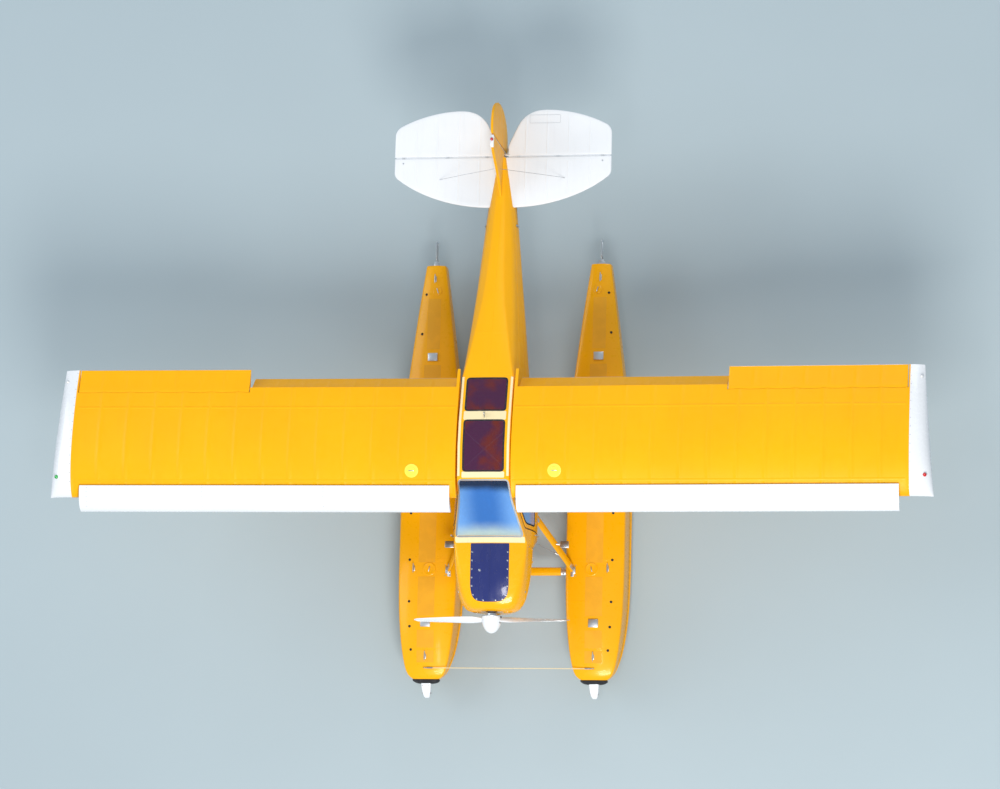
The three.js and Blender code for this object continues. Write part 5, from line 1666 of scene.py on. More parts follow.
class FLOATPLANE_OT_propeller(bpy.types.Operator):
    """Two-blade propeller and its spinner"""

    bl_idname = "floatplane.propeller"
    bl_label = "Propeller"

    def execute(self, context):
        rings = blade_rings()
        piece = Piece("blade_white", "aluminium", "bolt_steel")
        axis = Matrix.Translation((0, 516, SHAFT))
        for angle in (0, math.pi):
            turned = axis @ Matrix.Rotation(angle, 4, "Y")
            piece.add(loft(rings), 0, turned)
            piece.add(rod((34, 0, 0), (96, 0, 0), 34, 27, 28, 3), 1, turned)
            guard = [r[0] + (r[0] - r[12]).normalized() * 0.3 for r in rings[13:29]]
            radii = [1.6 + 0.8 * math.sin(math.pi * k / 15) for k in range(16)]
            piece.add(tube(guard, radii, 8), 1, turned)
        plate = axis @ Matrix.Rotation(math.radians(-90), 4, "X")
        hub = [(0, -48), (50, -48), (58, -40), (58, 67.6), (0, 67.6)]
        piece.add(lathe(hub, plate, 40), 1)
        piece.add(lathe([(0, 34), (111, 34), (112, 36), (112, 40), (0, 40)], plate, 56), 2)
        for x, z in circle(0, SHAFT, 34, 6):
            bolt(piece, (x, 468, z), (0, -1, 0), 6, 2)
        piece.finish("propeller_blades", "propeller", ["propeller"], crease=40)

        cone = Piece("shell_white", "bolt_steel")
        rear, radius = SPINNER["rear"], SPINNER["radius"]
        length = rear - SPINNER["tip"]
        quarter = [math.pi / 2 * k / 18 for k in range(18)]
        profile = [(0, 0), *[(radius * math.cos(t), length * math.sin(t)) for t in quarter], (0, length)]
        forward = Matrix.Translation((0, rear, SHAFT)) @ Matrix.Rotation(math.radians(90), 4, "X")
        dome = lathe(profile, forward, 56)
        bore = rod((0, 430, SHAFT), (0, 640, SHAFT), 61, sides=40)
        slot = prism(eased(symmetric([(48, 476), (48, 560)]), 16), -200, 200, "z")
        slot.transform(Matrix.Translation((0, 0, SHAFT)) @ Matrix.Rotation(math.pi / 2, 4, "Y"))
        dome = carve(dome, slot, bore)
        shape = BVHTree.FromBMesh(dome)
        cone.add(dome)
        for t in turns(10):
            if abs(math.sin(t)) > 0.5:
                start = (200 * math.cos(t), 540, SHAFT + 200 * math.sin(t))
                rivets(cone, on_skin(shape, [start], (-math.cos(t), 0, -math.sin(t))), 1, 5, 10)
        cone.finish("spinner_shell", "propeller", ["spinner"], crease=40)
        return {"FINISHED"}


FLOAT_CENTRE = 950
FLOAT_PLACE = Matrix.Translation((FLOAT_CENTRE, 0, 0))
STEP = 2345
# At each station of a float: the heights of the keel and the chine, the chine's half width, the deck
# edge's height and half width, and the height of the deck's crown.
FOREBODY = [
    (0, 335, 372, 150, 425, 160, 446), (60, 262, 328, 204, 452, 214, 480),
    (180, 175, 272, 246, 472, 252, 508), (400, 88, 212, 290, 490, 288, 534),
    (700, 28, 170, 324, 500, 316, 552), (1050, 3, 152, 338, 505, 330, 560),
    (1350, 0, 148, 340, 505, 332, 562), (2350, 0, 148, 340, 505, 332, 562),
]
AFTERBODY = [
    (2340, 65, 206, 338, 505, 332, 562), (2900, 122, 240, 324, 505, 322, 560),
    (3300, 168, 270, 296, 503, 294, 556), (3700, 215, 302, 250, 500, 248, 548),
    (4200, 280, 345, 188, 495, 186, 538), (4720, 350, 392, 118, 488, 112, 520),
]
POST = 4750
DECK_PADS = (620, 3650)
FORE_STATIONS = [50, 85, 125, 180, 250, 330, *range(420, 2340, 120), 2350]
AFTER_STATIONS = [2340, *range(2460, 4620, 120), 4700]
KEEL_STRIP = 1.5
OVER_DECK = 900


def float_row(station):
    return row_at(FOREBODY if station < STEP else AFTERBODY, station, True)


def float_ring(table, station, drawn=1.0):
    """The hull's section at a station, drawn in towards its middle at the bow and stern."""
    _, keel, chine, chine_w, edge, edge_w, crown = row_at(table, station, True)
    keel = max(keel, 0) + KEEL_STRIP
    rise, depth = crown - edge, chine - keel
    half = [(14, keel)]
    half += [(chine_w * a, keel + depth * b) for a, b in ((0.3, 0.26), (0.6, 0.52), (0.8, 0.76), (1, 1))]
    gunwale = [(chine_w, chine), (edge_w, edge), (edge_w * 0.86, edge + rise * 0.3)]
    half += eased(gunwale, [0, 34, 0], 5, False)[1:]
    rounded_deck = ((0.7, 0.55), (0.53, 0.75), (0.36, 0.88), (0.18, 0.97))
    half += [(edge_w * a, edge + rise * b) for a, b in rounded_deck]
    middle = (keel + crown) / 2
    left = [Vector((x * drawn, station, middle + (z - middle) * drawn)) for x, z in half]
    top = Vector((0, station, middle + (crown - middle) * drawn))
    return left + [top] + [Vector((-p.x, p.y, p.z)) for p in reversed(left)]


def float_hull():
    bow = [(0, 0.9), (4, 0.945), (12, 0.98), (26, 1.0)]
    rings = [float_ring(FOREBODY, s, d) for s, d in bow]
    rings += [float_ring(FOREBODY, s) for s in FORE_STATIONS]
    after = [float_ring(AFTERBODY, s) for s in AFTER_STATIONS]
    after += [float_ring(AFTERBODY, s, d) for s, d in ((4716, 0.985), (4720, 0.96))]
    return loft(rings), loft(after)


def deck_mat(tree, half, start, end, proud=1.4):
    """A thin mat that follows the deck."""
    rings = []
    for s in spaced((0, start, 0), (0, end, 0), 60):
        across = [(-half + 2 * half * k / 8, s.y) for k in range(9)]
        hits = [place for place, _ in from_above(tree, across, OVER_DECK)]
        top = [place + Vector((0, 0, proud)) for place in hits]
        rings.append(top + [place - Vector((0, 0, 2)) for place in reversed(hits)])
    return loft(rings)


class FLOATPLANE_OT_floats(bpy.types.Operator):
    """Float hulls with spray rails, keel strips, hatches, pump-out plugs, cleats and walkways"""

    bl_idname = "floatplane.floats"
    bl_label = "Floats"

    def execute(self, context):
        pitch = context.scene.floatplane_rivets.pitch * 1400
        piece = Piece("hull_yellow", "aluminium", "grip", "rubber", "bolt_steel")
        fore, after = float_hull()
        piece.add(fore)
        piece.add(after)
        tree = piece.tree()
        for sign in (1, -1):
            rails = []
            for s in [40, 80, 130, 200, 300, *range(420, 2340, 120), STEP]:
                _, _, z, w, *_ = row_at(FOREBODY, s, True)
                grow = min(1.0, (s - 20) / 300)
                section = (
                    (w - 8, z - 12 * grow), (w + 15 * grow, z - 12 * grow),
                    (w + 15 * grow, z - 6 * grow), (w - 6, z + 7),
                )
                rails.append([Vector((sign * x, s, height)) for x, height in section])
            piece.add(loft(rails))
            for table, start, end in ((FOREBODY, 90, 2340), (AFTERBODY, 2370, 4690)):
                for share in (0.07, 0.9):
                    row = between(table, range(start, end, int(pitch)), 2, 4, share)
                    rivets(piece, from_side(tree, row, sign, 600))
            for s in (330, 800, 1330, 1860, 2330, 2860, 3390, 3920, 4380):
                row = float_row(s)
                high = [(s, z) for z in range(int(row[2]) + 22, int(row[4]) - 22, 34)]
                rivets(piece, from_side(tree, high, sign, 600))
                low = [(sign * x, s, -200) for x in range(50, int(row[3]) - 12, 44)]
                rivets(piece, on_skin(tree, low, UP))
        for s in (330, 860, 1330, 1860, STEP, 2860, 3390, 3920, 4380):
            half = int(float_row(s)[5]) - 26
            hits = from_above(tree, [(x, s) for x in range(-half, half + 1, 22)], OVER_DECK)
            piece.add(band(hits, 34, 1.2))
            rivets(piece, hits[::2])
        for table, stations in ((FOREBODY, FORE_STATIONS[1:]), (AFTERBODY, AFTER_STATIONS)):
            rings = []
            for s in stations:
                z = max(row_at(table, s, True)[1], 0)
                rings.append([Vector((x, s, z + up)) for x, up in ((-20, 0), (20, 0), (20, 9), (-20, 9))])
            piece.add(loft(rings), 1)
        for start, end in ((180, 540), (700, 1140), (1300, 2280), (2400, 2520), (2700, 3560), (3740, 4330)):
            piece.add(deck_mat(tree, 96 if start < 3700 else 74, start, end), 2)
        for s in DECK_PADS:
            piece.add(box((-55, s - 45, 500), (55, s + 45, 568), 3), 1)
            for dx, dy in ((-40, -32), (40, -32), (-40, 32), (40, 32)):
                piece.add(rod((dx, s + dy, 560), (dx, s + dy, 567.8), 6, sides=14), 4)
        for s in (1225, 2620, 4420):
            spot = set_on(tree, (-30, s, OVER_DECK), DOWN)
            lid = 74 if s < 4000 else 50
            profile = [(0, -3), (lid, -3), (lid, 4), (lid - 8, 8), (lid - 16, 6), (0, 9)]
            piece.add(lathe(profile, spot, 40))
            piece.add(box((-30, -5, 7), (30, 5, 17), 3), 1, spot)
        for s in (300, 560, 840, 1310, 1840, 2310, 2840, 3370, 3900, 4360):
            spot = set_on(tree, (float_row(s)[5] * 0.6, s + 22, OVER_DECK), DOWN)
            plug = [(0, -2), (15, -2), (15, 2), (10, 3), (9, 9), (5, 12), (0, 12.5)]
            piece.add(lathe(plug, spot, 18), 3)
        for s, x in ((250, 0), (1235, 150), (2610, 150), (4560, 0)):
            place, _ = from_above(tree, [(x, s)], OVER_DECK)[0]
            spot = Matrix.Translation(place)
            piece.add(box((-13, -32, -2), (13, 32, 4), 2), 1, spot)
            for dy in (-14, 14):
                piece.add(rod((0, dy, 2), (0, dy, 26), 6, 5, 12), 1, spot)
            horns = [(0, -52, 31), (0, -30, 28), (0, 0, 27), (0, 30, 28), (0, 52, 31)]
            piece.add(tube(horns, [4, 6, 7, 6, 4], 10), 1, spot)
        for low, high in ((380, 392), (478, 490)):
            piece.add(box((-26, 4700, low), (26, POST + 24, high), 3), 1)
        piece.add(box((-34, 4716, 376), (34, 4723, 486), 2), 1)
        piece.form.transform(FLOAT_PLACE)
        piece.finish_pair("float_hull", "airframe", ["float"], crease=30)

        bumper = Piece("rubber", "bolt_steel")
        half = curve_points((150, -0.4), ((150, -14),), ((130, -44), (60, -46)), steps=6)
        bumper.add(prism(symmetric(half), 352, 432, "z", 7))
        for x in (-110, 110):
            bolt(bumper, (x, -31, 392), (0.25 * math.copysign(1, x), -1, 0), 7, 1)
        bumper.form.transform(FLOAT_PLACE)
        bumper.finish_pair("bumper", "airframe", ["bow_bumper"], crease=40)

        fitting = Piece("fitting_white", "bolt_steel")
        rings = []
        for s, w, low, high in (
            (-46.4, 56, 352, 424), (-80, 54, 341, 412), (-110, 50, 330, 396), (-145, 45, 320, 377),
            (-170, 38, 312, 360), (-190, 29, 308, 341), (-200, 20, 308, 328),
        ):
            corners = eased([(w, low), (w, high), (-w, high), (-w, low)], min(w, high - low) * 0.35, 4)
            rings.append([Vector((x, s, z)) for x, z in corners])
        eye = rod((-100, -150, 350), (100, -150, 350), 15, sides=28)
        fitting.add(carve(loft(rings), eye))
        for x in (-36, 36):
            bolt(fitting, (x, -70, 411), (0, -0.3, 1), 6, 1)
        fitting.add(rod((-52, -150, 350), (52, -150, 350), 8, sides=16), 1)
        fitting.form.transform(FLOAT_PLACE)
        fitting.finish_pair("bow_eye", "airframe", ["bow_fitting"], crease=40, bevel=0.0008)
        return {"FINISHED"}


# The float struts on the left: their feet on the decks and their heads at the cabin. A spreader bar
# runs across below each pair of feet.
STRUT_FEET = {"front": (715, 1215, 520), "rear": (715, 2600, 520)}
STRUT_HEADS = {"front": (352, 1750, 1140), "rear": (318, 2640, 1180)}
SPREADER_HEIGHT = 440
CABLE = {"station": 118, "height": 512, "half": 938}


class FLOATPLANE_OT_float_rigging(bpy.types.Operator):
    """Float struts, spreader bars, brace wires and the walk-across cable"""

    bl_idname = "floatplane.float_rigging"
    bl_label = "Float rigging"

    def execute(self, context):
        legs = Piece("sheet_yellow", "aluminium", "bolt_steel", "rubber")
        for head, foot, chord, thickness in (
            ("front", "front", 86, 32), ("front", "rear", 62, 26), ("rear", "rear", 86, 32),
        ):
            start, end = Vector(STRUT_HEADS[head]), Vector(STRUT_FEET[foot])
            along = (end - start).normalized()
            legs.add(bar(start - along * 25, end, chord, thickness, 0.04))
            cuff = end - along * 62
            legs.add(bar(cuff - along * 36, cuff + along * 30, chord * 0.8, thickness * 1.25), 1)
            across = Vector((thickness * 0.8, 0, 0))
            for step in (-22, 16):
                pin = cuff + along * step
                legs.add(rod(pin - across, pin + across, 6, sides=6), 2)
            cuff = start + along * 70
            legs.add(bar(cuff - along * 40, cuff + along * 34, chord * 0.8, thickness * 1.25), 1)
        for x, s, _ in STRUT_FEET.values():
            legs.add(box((x - 34, s - 70, 500), (x + 34, s + 70, 536), 5), 1)
            legs.add(box((x - 22, s - 40, 530), (x + 22, s + 40, 556), 6), 1)
            for dx in (-25, 25):
                for dy in (-58, 58):
                    bolt(legs, (x + dx, s + dy, 536), UP, 6, 2)
        legs.add(rod((322, 1750, 1118), (382, 1750, 1118), 26, sides=28, round_edges=3), 1)
        legs.add(box((292, 2605, 1150), (344, 2675, 1192), 4), 1)
        # A boarding step on a short arm off the front strut.
        x, s, z = Vector(STRUT_HEADS["front"]).lerp(Vector(STRUT_FEET["front"]), 0.52)
        arm = eased([(x, s, z), (x + 70, s - 6, z - 6), (x + 150, s - 6, z - 6)], 20, loop=False)
        legs.add(tube(arm, 11, 14), 1)
        legs.add(box((x + 60, s - 42, z + 2), (x + 158, s + 30, z + 9), 3), 1)
        for dy in range(-34, 27, 12):
            legs.add(box((x + 66, s + dy, z + 8), (x + 152, s + dy + 5, z + 10), 0.6), 3)
        legs.finish_pair("float_legs", "airframe", ["float_strut"], crease=40)

        level = SPREADER_HEIGHT
        for name, slant in (("front", 120), ("rear", -120)):
            _, s, _ = STRUT_FEET[name]
            spread = Piece("aluminium", "bolt_steel", "sheet_yellow")
            spread.add(bar((-622, s, level), (622, s, level), 92, 44, 0.03), 2)
            for sign in (1, -1):
                spread.add(bar((sign * 560, s, level), (sign * 618, s, level), 104, 54))
                x = sign * 628
                spread.add(box((x - 10, s - 62, level - 36), (x + 10, s + 62, level + 36), 4))
                for ds in (-26, 26):
                    bolt(spread, (sign * 590, s + ds, level + 24), UP, 6, 1)
            spread.finish(f"spreader_{name}", "airframe", [f"spreader_bar_{name}"], crease=40)
            wires = Piece("bolt_steel", "aluminium")
            _, head_s, head_z = STRUT_HEADS[name]
            for sign in (1, -1):
                top = Vector((sign * 250, head_s, head_z - 2))
                low = Vector((-sign * 655, s + slant, 506))
                along = (low - top).normalized()
                wires.add(rod(top, low, 4, sides=10))
                wires.add(rod(low - along * 190, low - along * 70, 8.5, sides=14, round_edges=2), 1)
                wires.add(rod(low - along * 62, low - along * 20, 7, 10, 12), 1)
                wires.add(rod(top + along * 8, top + along * 60, 10, 6, 12), 1)
                wires.add(box(low - Vector((14, 14, 10)), low + Vector((14, 14, 4)), 3), 1)
            wires.finish(f"bracing_{name}", "airframe", [f"brace_wires_{name}"], crease=40)

        line = Piece("cream_trim", "bolt_steel")
        s, z, half = CABLE["station"], CABLE["height"], CABLE["half"]
        line.add(rod((-half, s, z), (half, s, z), 4.5, sides=10))
        for sign in (1, -1):
            centre = sign * FLOAT_CENTRE
            ring = [(a, s, b) for a, b in circle(centre, z, 13, 18)]
            line.add(tube(ring, 3.5, 8, loop=True, up=(0, 1, 0)), 1)
            line.add(rod((centre, s, z - 36), (centre, s, z - 12), 6, sides=12), 1)
            line.add(rod((sign * 860, s, z), (sign * 930, s, z), 8, sides=12), 1)
        line.finish("bow_walk_cable", "airframe")
        return {"FINISHED"}


class FLOATPLANE_OT_wing_struts(bpy.types.Operator):
    """Lift struts in a V, with jury struts, forks and cuffs"""

    bl_idname = "floatplane.wing_struts"
    bl_label = "Wing struts"

    def execute(self, context):
        body = Vector((392, 2440, 1150))
        spars = (360, 1010)
        piece = Piece("sheet_yellow", "aluminium", "bolt_steel")
        ends = [WING_FRAME @ Vector((2400, y, -26)) for y in spars]
        middles = [body.lerp(end, 0.5) for end in ends]
        for end, chord, thickness in zip(ends, (76, 62), (30, 26)):
            along = (end - body).normalized()
            piece.add(bar(body, end, chord, thickness, 0.05))
            piece.add(bar(body + along * 120, body + along * 200, chord * 1.12, thickness * 1.2), 1)
            piece.add(bar(end - along * 130, end - along * 56, chord * 1.12, thickness * 1.2), 1)
            for step in (-112, -76):
                spot = end + along * step
                piece.add(rod(spot - Vector((0, 0, 22)), spot + Vector((0, 0, 22)), 5, sides=6), 2)
            fork = end - along * 34
            piece.add(box(fork - Vector((26, 9, 26)), fork + Vector((26, 9, 44)), 4), 1)
        piece.add(bar(middles[0], middles[1], 24, 22), 0)
        clamp = (ends[0] - body).normalized()
        for middle, y, chord in zip(middles, spars, (84, 70)):
            top = WING_FRAME @ Vector(((middle.x - WING_ROOT[0]) * 0.98, y, -30))
            piece.add(bar(middle, top, 24, 17))
            piece.add(bar(middle - clamp * 16, middle + clamp * 16, chord, 36), 1)
            piece.add(box(top - Vector((14, 12, 18)), top + Vector((14, 12, 6)), 3), 1)
        piece.add(bar(body - Vector((42, 0, 0)), body + Vector((38, 0, 0)), 108, 56), 1)
        bolt(piece, body + Vector((38, 0, 0)), (1, 0, 0), 9, 2)
        piece.finish_pair("lift_struts", "airframe", ["wing_strut"], crease=40)
        return {"FINISHED"}


class FLOATPLANE_OT_water_rudders(bpy.types.Operator):
    """Water rudders with their posts, stiffening ribs and a round bar along the rear edge"""

    bl_idname = "floatplane.water_rudders"
    bl_label = "Water rudders"

    def execute(self, context):
        low, high = 392.4, 477.6
        blade = [
            (POST, low + 22), (POST + 60, low + 10), (POST + 235, low + 4), (POST + 262, low + 60),
            (POST + 240, high + 62), (POST + 70, high + 40), (POST + 40, high - 6), (POST, high - 6),
        ]
        piece = Piece("aluminium", "bolt_steel")
        piece.add(rod((0, POST, low), (0, POST, high), 13, sides=24))
        piece.add(prism(eased(blade, [4, 10, 30, 24, 40, 20, 8, 4]), -3, 3, "x", 1))
        for z in (low + 26, low + 58, high + 6):
            piece.add(box((-6, POST + 44, z - 5), (6, POST + 232, z + 5), 4))
        tips = ((POST + 236, low + 8), (POST + 258, low + 60), (POST + 238, high + 56))
        piece.add(tube([Vector((0, s, z)) for s, z in tips], 5, 10, up=(1, 0, 0)))
        for s, z in ((POST + 52, low + 30), (POST + 52, high - 20), (POST + 62, high + 22)):
            bolt(piece, (3, s, z), (1, 0, 0), 5, 1)
            bolt(piece, (-3, s, z), (-1, 0, 0), 5, 1)
        piece.form.transform(FLOAT_PLACE)
        piece.finish_pair("water_rudder_blade", "water_rudder", ["water_rudder"], crease=40)
        return {"FINISHED"}


SEAT_CENTRE = 208


def padded_form(name, width, depth, height, swell, cap, channels):
    """A crowned pad about its own centre, inflated as cloth, then sewn across in channels."""
    form = bmesh.new()
    size = Matrix.Diagonal((width / 1000, depth / 1000, height / 1000, 1))
    bmesh.ops.create_cube(form, size=1, matrix=size)
    rounded(form, form.edges, 0.012)
    mesh = bpy.data.meshes.new(name)
    form.to_mesh(mesh)
    form.free()
    pad = bpy.data.objects.new(name, mesh)
    bpy.context.scene.collection.objects.link(pad)
    remesh = pad.modifiers.new("even", "REMESH")
    remesh.mode = "VOXEL"
    remesh.voxel_size = 0.011
    apply_modifiers(pad)
    before = [v.co.copy() for v in pad.data.vertices]
    cloth = pad.modifiers.new("fill", "CLOTH")
    cloth.settings.use_pressure = True
    cloth.settings.uniform_pressure_force = swell
    cloth.settings.effector_weights.gravity = 0
    cloth.settings.quality = 4
    scene = bpy.context.scene
    for step in range(1, 17):
        scene.frame_set(step)
    apply_modifiers(pad)
    scene.frame_set(1)
    form = bmesh.new()
    form.from_mesh(pad.data)
    form.verts.ensure_lookup_table()
    for vert, rest in zip(form.verts, before):
        move = vert.co - rest
        if move.length > cap / 1000:
            vert.co = rest + move.normalized() * (cap / 1000)
    bmesh.ops.smooth_vert(
        form, verts=form.verts, factor=0.5, use_axis_x=True, use_axis_y=True, use_axis_z=True,
    )
    for vert in form.verts:
        if vert.co.z > 0:
            for channel in channels:
                near = abs(vert.co.y - channel / 1000) / 0.016
                if near < 1 and abs(vert.co.x) < width / 2000 - 0.03:
                    vert.co.z -= 0.007 * (1 + math.cos(math.pi * near)) / 2
    bmesh.ops.transform(form, matrix=Matrix.Scale(1000, 4), verts=form.verts)
    mesh = pad.data
    bpy.data.objects.remove(pad)
    bpy.data.meshes.remove(mesh)
    return form


def apply_modifiers(made):
    graph = bpy.context.evaluated_depsgraph_get()
    mesh = bpy.data.meshes.new_from_object(made.evaluated_get(graph))
    made.modifiers.clear()
    made.data = mesh


SEAT_PADS = (
    # name, width, depth, thickness, centre, tilt in degrees, channels across
    ("seat_cushion", 332, 388, 74, (SEAT_CENTRE, 2132, 1392), 2.0, (-110, -36, 38, 112)),
    ("seat_back", 332, 500, 66, (SEAT_CENTRE, 2492, 1704), 68.0, (-160, -80, 0, 80, 160)),
)


class FLOATPLANE_OT_seats(bpy.types.Operator):
    """Padded seats over moulded shells, with piping and belts"""

    bl_idname = "floatplane.seats"
    bl_label = "Seats"

    def execute(self, context):
        shell = Piece("crackle_black", "aluminium")
        profile = [
            (1985, 1150), (2228, 1150), (2296, 1296), (2428, 1304), (2652, 1946), (2630, 1976), (2606, 1960),
            (2394, 1366), (2340, 1346), (1950, 1352), (1950, 1338), (1985, 1326),
        ]
        shell.add(prism(eased(profile, 14), 34, 388, "x", 6))
        for x in (60, 350):
            shell.add(box((x - 12, 1990, 1145.6), (x + 12, 2226, 1156), 2), 1)
        shell.finish_pair("seat_shell", "airframe", ["seat"], crease=36)
        for name, width, depth, height, centre, tilt, channels in SEAT_PADS:
            form = padded_form(name, width, depth, height, 4.0, 12, channels)
            place = Matrix.Translation(centre) @ Matrix.Rotation(math.radians(tilt), 4, "X")
            pad = Piece("leather")
            pad.add(form, 0, place)
            for side, sign in SIDES.items():
                made = pad.finish(f"{name}_{side}", "airframe", smooth=1, crease=80, mirror=sign < 0)
            trim = Piece("leather", "webbing", "bolt_steel")
            x, y = width / 2 + 2, depth / 2 + 2
            edge = eased([(-x, -y), (x, -y), (x, y), (-x, y)], 26)
            piping = [(a, b, height * 0.28) for a, b in edge]
            trim.add(tube(piping, 4, 8, loop=True), 0, place)
            skin = pad.tree()
            reach = (place.to_3x3() @ Vector((0, 0, 1))).normalized()
            if name == "seat_back":
                for x in (-86, 86):
                    path = [place @ Vector((x * (1 - 0.2 * k / 24), -200 + k * 19, 300)) for k in range(25)]
                    trim.add(band(on_skin(skin, path, -reach), 44, 2.4), 1)
            else:
                for sign in (1, -1):
                    path = [place @ Vector((sign * (166 - k * 12), 120 - k * 4, 300)) for k in range(13)]
                    trim.add(band(on_skin(skin, path, -reach), 44, 2.4), 1)
                buckle = place @ Vector((0, 66, 0)) + reach * 300
                trim.add(box((-34, -26, 1), (34, 26, 13), 4), 2, set_on(skin, buckle, -reach))
            trim.finish_pair(f"{name}_trim", "airframe", crease=40)
        return {"FINISHED"}


# The steel tube frame: one side's top rail, and the tubes' radius.
FRAME_RAIL = ((250, 1985, 2398), (250, 2480, 2398), (250, 2577, 2387.4), (250, 2690, 2357))
FRAME_TUBE = 9


def dial(piece, x, z, radius, reading):
    """A round instrument on the panel: bezel, black face, ticks and a hand."""
    face = Matrix.Translation((x, 1552, z)) @ Matrix.Rotation(math.radians(-90), 4, "X")
    rim = [(0, -2), (radius, -2), (radius, 5), (radius - 5, 7), (radius - 7, 3), (0, 3)]
    piece.add(lathe(rim, face, 30))
    for turn in turns(12):
        spot = face @ Matrix.Rotation(turn, 4, "Z")
        piece.add(box((radius * 0.62, -0.9, 3), (radius * 0.8, 0.9, 3.8)), 2, spot)
    hand = box((-radius * 0.12, -1.3, 3.4), (radius * 0.6, 1.3, 4.6))
    piece.add(hand, 2, face @ Matrix.Rotation(reading, 4, "Z"))


class FLOATPLANE_OT_cockpit(bpy.types.Operator):
    """Instrument panel, control sticks, pedals, frame tubes, floor and what shows of the engine"""

    bl_idname = "floatplane.cockpit"
    bl_label = "Cockpit and engine"

    def execute(self, context):
        room = fuselage_form(CABIN, 25.6, FIREWALL + 26, CABIN_END - 26)
        board = [(1520, 1590), (1552, 1590), (1542, 1862), (1512, 1866)]
        hood = [(1356, 1856), (1512, 1868), (1556, 1874), (1562, 1888), (1548, 1896), (1356, 1868)]
        piece = Piece("crackle_black", "rubber", "sheet_white", "aluminium")
        piece.add(carve(prism(board, -390, 390), room.copy(), keep="INTERSECT"))
        piece.add(carve(prism(eased(hood, 5), -390, 390), room, keep="INTERSECT"), 1)
        dials = [(sign * x, z) for z in (1800, 1700) for sign in (-1, 1) for x in (75, 185, 290)]
        for k, (x, z) in enumerate(dials):
            dial(piece, x, z, 44 if abs(x) < 250 else 36, 0.7 * k - 1.2)
        for k in range(7):
            piece.add(box((-90 + k * 27, 1551, 1624), (-76 + k * 27, 1562, 1648), 2), 3)
        for x in (-24, 24):
            piece.add(rod((x, 1550, 1606), (x, 1600, 1606), 5, sides=12), 3)
            piece.add(rod((x, 1596, 1606), (x, 1616, 1606), 15, 12, 18, 3), 1)
        piece.finish("instrument_board", "airframe", ["instrument_panel"], crease=36)

        tubes = Piece("fitting_white", "bolt_steel")
        for sign in (1, -1):
            rail = [(sign * x, s, z) for x, s, z in FRAME_RAIL]
            tubes.add(tube(eased(rail, 40, loop=False), FRAME_TUBE, 12))
            post = [rail[-1], (sign * 338, 2690, 1640), (sign * 300, 2690, 1150)]
            tubes.add(tube(eased(post, 50, loop=False), FRAME_TUBE, 12, up=(0, 1, 0)))
            tubes.add(rod((sign * 250, 2050, 2392), (-sign * 250, 2500, 2392), FRAME_TUBE, sides=12))
            for x, s, z in (rail[0], rail[-1], (sign * 250, 2500, 2393)):
                tubes.add(box((x - 22, s - 20, z - 1.5), (x + 22, s + 20, z + 1.5), 1))
                bolt(tubes, (x - sign * 17, s, z + 1.5), (0, 0, 1), 3, 1)
        for s, z in ((1985, 2398), (2050, 2392), (2690, 2357)):
            tubes.add(rod((-286, s, z), (286, s, z), FRAME_TUBE, sides=12))
        tubes.add(rod((0, 2275, 2384), (0, 2275, 2400), 16, sides=20, round_edges=2), 1)
        tubes.finish("cabin_tubes", "airframe", ["cabin_frame"], crease=40)

        inside = Piece("rubber", "aluminium", "crackle_black")
        inside.add(box((-352, 1360, 1146), (352, 2250, 1152), 2))
        inside.add(box((-250, 2660, 1400), (250, 3040, 1408), 2))
        for sign in (1, -1):
            seat = sign * SEAT_CENTRE
            stick = eased([(seat, 1830, 1152), (seat, 1850, 1330), (seat, 1800, 1480)], 60, loop=False)
            inside.add(tube(stick, 11, 12), 2)
            inside.add(rod((seat, 1806, 1462), (seat, 1778, 1546), 17, 15, 16, 4))
            boot = Matrix.Translation((seat, 1830, 1152))
            inside.add(lathe([(0, 0), (40, 0), (34, 12), (16, 30), (0, 32)], boot, 24))
            for x in (seat - 70, seat + 70):
                inside.add(rod((x, 1430, 1156), (x, 1440, 1290), 8, sides=10), 1)
                inside.add(box((x - 38, 1430, 1280), (x + 38, 1442, 1330), 3), 1)
        inside.finish("cabin_fittings", "airframe", crease=40)

        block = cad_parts["engine_block"]
        for slot in block.material_slots:
            slot.material = finish_named("engine_iron")
        engine = Piece("engine_iron", "aluminium", "rubber")
        for sign in (1, -1):
            x, z = sign * 168, 1655
            for s in range(655, 776, 15):
                engine.add(rod((x, s, z), (x, s + 4, z), 62, sides=28))
            engine.add(rod((x, 650, z), (x, 792, z), 40, sides=24), 1)
            engine.add(rod((sign * 130, 648, 1700), (sign * 150, 700, 1716), 6, sides=10), 2)
        engine.add(box((-70, 668, 1420), (70, 700, 1536), 6), 1)
        for k in range(11):
            engine.add(box((-66, 662, 1424 + k * 10), (66, 669, 1428 + k * 10)), 0)
        engine.finish("engine_fins", "airframe", crease=40)
        return {"FINISHED"}


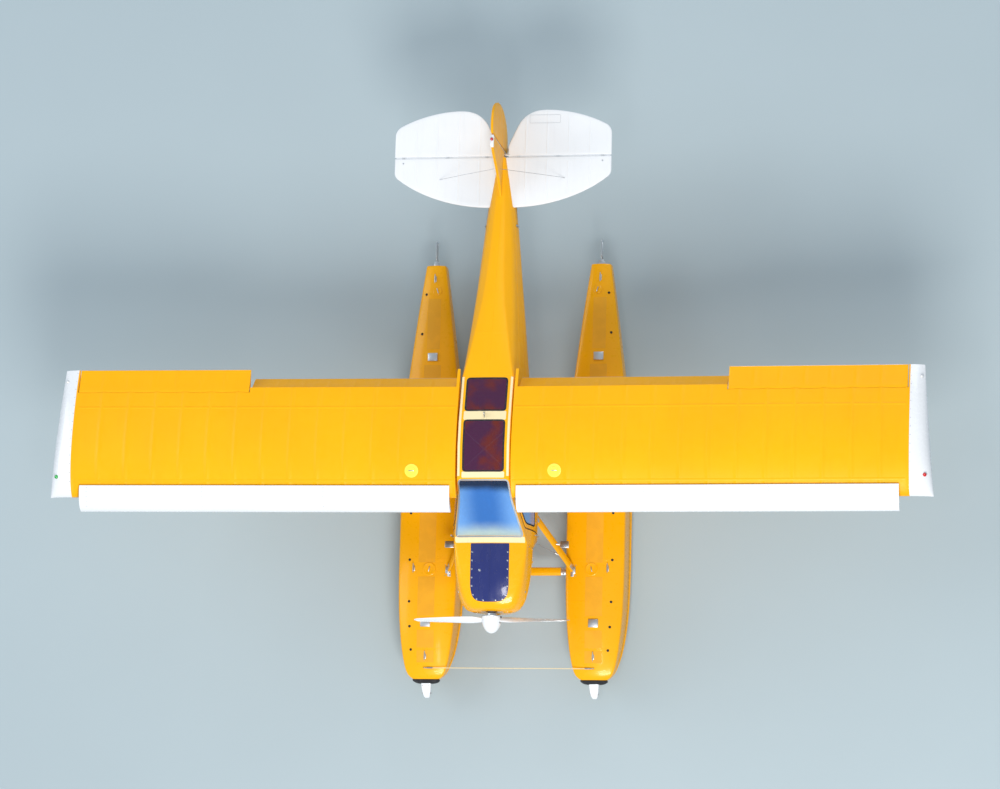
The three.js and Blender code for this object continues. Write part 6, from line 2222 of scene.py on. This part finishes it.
class FLOATPLANE_OT_stage(bpy.types.Operator):
    """Pale floor, soft studio light and the camera"""

    bl_idname = "floatplane.stage"
    bl_label = "Stage"

    def execute(self, context):
        stage = context.scene.floatplane_stage
        form = bmesh.new()
        bmesh.ops.create_grid(form, x_segments=2, y_segments=2, size=60)
        mesh = bpy.data.meshes.new("floor")
        form.to_mesh(mesh)
        form.free()
        mesh.materials.append(finish_named("floor_paper"))
        floor = bpy.data.objects.new("floor", mesh)
        context.scene.collection.objects.link(floor)

        def area(name, place, size, power, colour, long=1.0):
            data = bpy.data.lights.new(name, "AREA")
            data.shape = "RECTANGLE"
            data.size = size
            data.size_y = size * long
            data.energy = power
            data.color = colour
            lamp = bpy.data.objects.new(name, data)
            lamp.matrix_world = pointing(place, Vector(place) - Vector((0, 0, 1)))
            context.scene.collection.objects.link(lamp)

        area("key_light", (4.0, -14.0, 17.0), 7.5, stage.key, (1.0, 0.985, 0.95))
        area("strip_light", (1.3, -5.2, 17.0), 1.2, stage.key * 0.05, (1.0, 0.97, 1.0), 2.6)
        area("fill_light", (-15.0, 3.0, 13.0), 10.0, stage.key * 0.28, (0.93, 0.97, 1.0))
        area("rear_light", (6.0, 15.0, 12.0), 9.0, stage.key * 0.22, (0.95, 0.98, 1.0))
        world = bpy.data.worlds.new("studio")
        world.use_nodes = True
        sky = world.node_tree.nodes["Background"].inputs
        sky["Color"].default_value = (0.8, 0.9, 1.0, 1)
        sky["Strength"].default_value = 0.55
        context.scene.world = world
        context.scene.view_settings.view_transform = "Standard"

        data = bpy.data.cameras.new("camera")
        data.lens = stage.lens
        data.clip_end = 200
        camera = bpy.data.objects.new("camera", data)
        # The camera's level lies between that of the wings and that of the fuselage, nearer the wings'.
        back = (Vector(stage.camera) - Vector(stage.target)).normalized()
        by_wings = (Vector((1, 0, 0)) - back * back.x).normalized()
        by_fuselage = Vector((0, 1, 0)).cross(back).normalized()
        right = (by_fuselage + by_wings * 4).normalized()
        turned = Matrix((right, back.cross(right), back)).transposed().to_4x4()
        camera.matrix_world = Matrix.Translation(stage.camera) @ turned
        context.scene.collection.objects.link(camera)
        context.scene.camera = camera
        return {"FINISHED"}


SETTINGS = {
    "floatplane_paint": PaintSettings,
    "floatplane_covering": CoveringSettings,
    "floatplane_rivets": RivetSettings,
    "floatplane_stage": StageSettings,
}
STEPS = (
    FLOATPLANE_OT_stage,
    FLOATPLANE_OT_wings,
    FLOATPLANE_OT_wing_tips,
    FLOATPLANE_OT_slats,
    FLOATPLANE_OT_control_surfaces,
    FLOATPLANE_OT_tailplane,
    FLOATPLANE_OT_fin_and_rudder,
    FLOATPLANE_OT_cabin,
    FLOATPLANE_OT_glazing,
    FLOATPLANE_OT_doors,
    FLOATPLANE_OT_tail_cone,
    FLOATPLANE_OT_cowl,
    FLOATPLANE_OT_propeller,
    FLOATPLANE_OT_floats,
    FLOATPLANE_OT_float_rigging,
    FLOATPLANE_OT_wing_struts,
    FLOATPLANE_OT_water_rudders,
    FLOATPLANE_OT_seats,
    FLOATPLANE_OT_cockpit,
)


class FLOATPLANE_PT_panel(bpy.types.Panel):
    bl_label = "Floatplane"
    bl_idname = "FLOATPLANE_PT_panel"
    bl_space_type = "VIEW_3D"
    bl_region_type = "UI"
    bl_category = "Floatplane"

    def draw(self, context):
        for name, group in SETTINGS.items():
            column = self.layout.box().column()
            for setting in group.__annotations__:
                column.prop(getattr(context.scene, name), setting)
        for step in STEPS:
            self.layout.operator(step.bl_idname)


def register():
    for kind in (*SETTINGS.values(), *STEPS, FLOATPLANE_PT_panel):
        bpy.utils.register_class(kind)
    for name, group in SETTINGS.items():
        setattr(bpy.types.Scene, name, PointerProperty(type=group))


def unregister():
    for name in SETTINGS:
        delattr(bpy.types.Scene, name)
    for kind in reversed((*SETTINGS.values(), *STEPS, FLOATPLANE_PT_panel)):
        bpy.utils.unregister_class(kind)


def main():
    register()
    for step in STEPS:
        group, name = step.bl_idname.split(".")
        getattr(getattr(bpy.ops, group), name)()


if __name__ == "__main__":
    main()
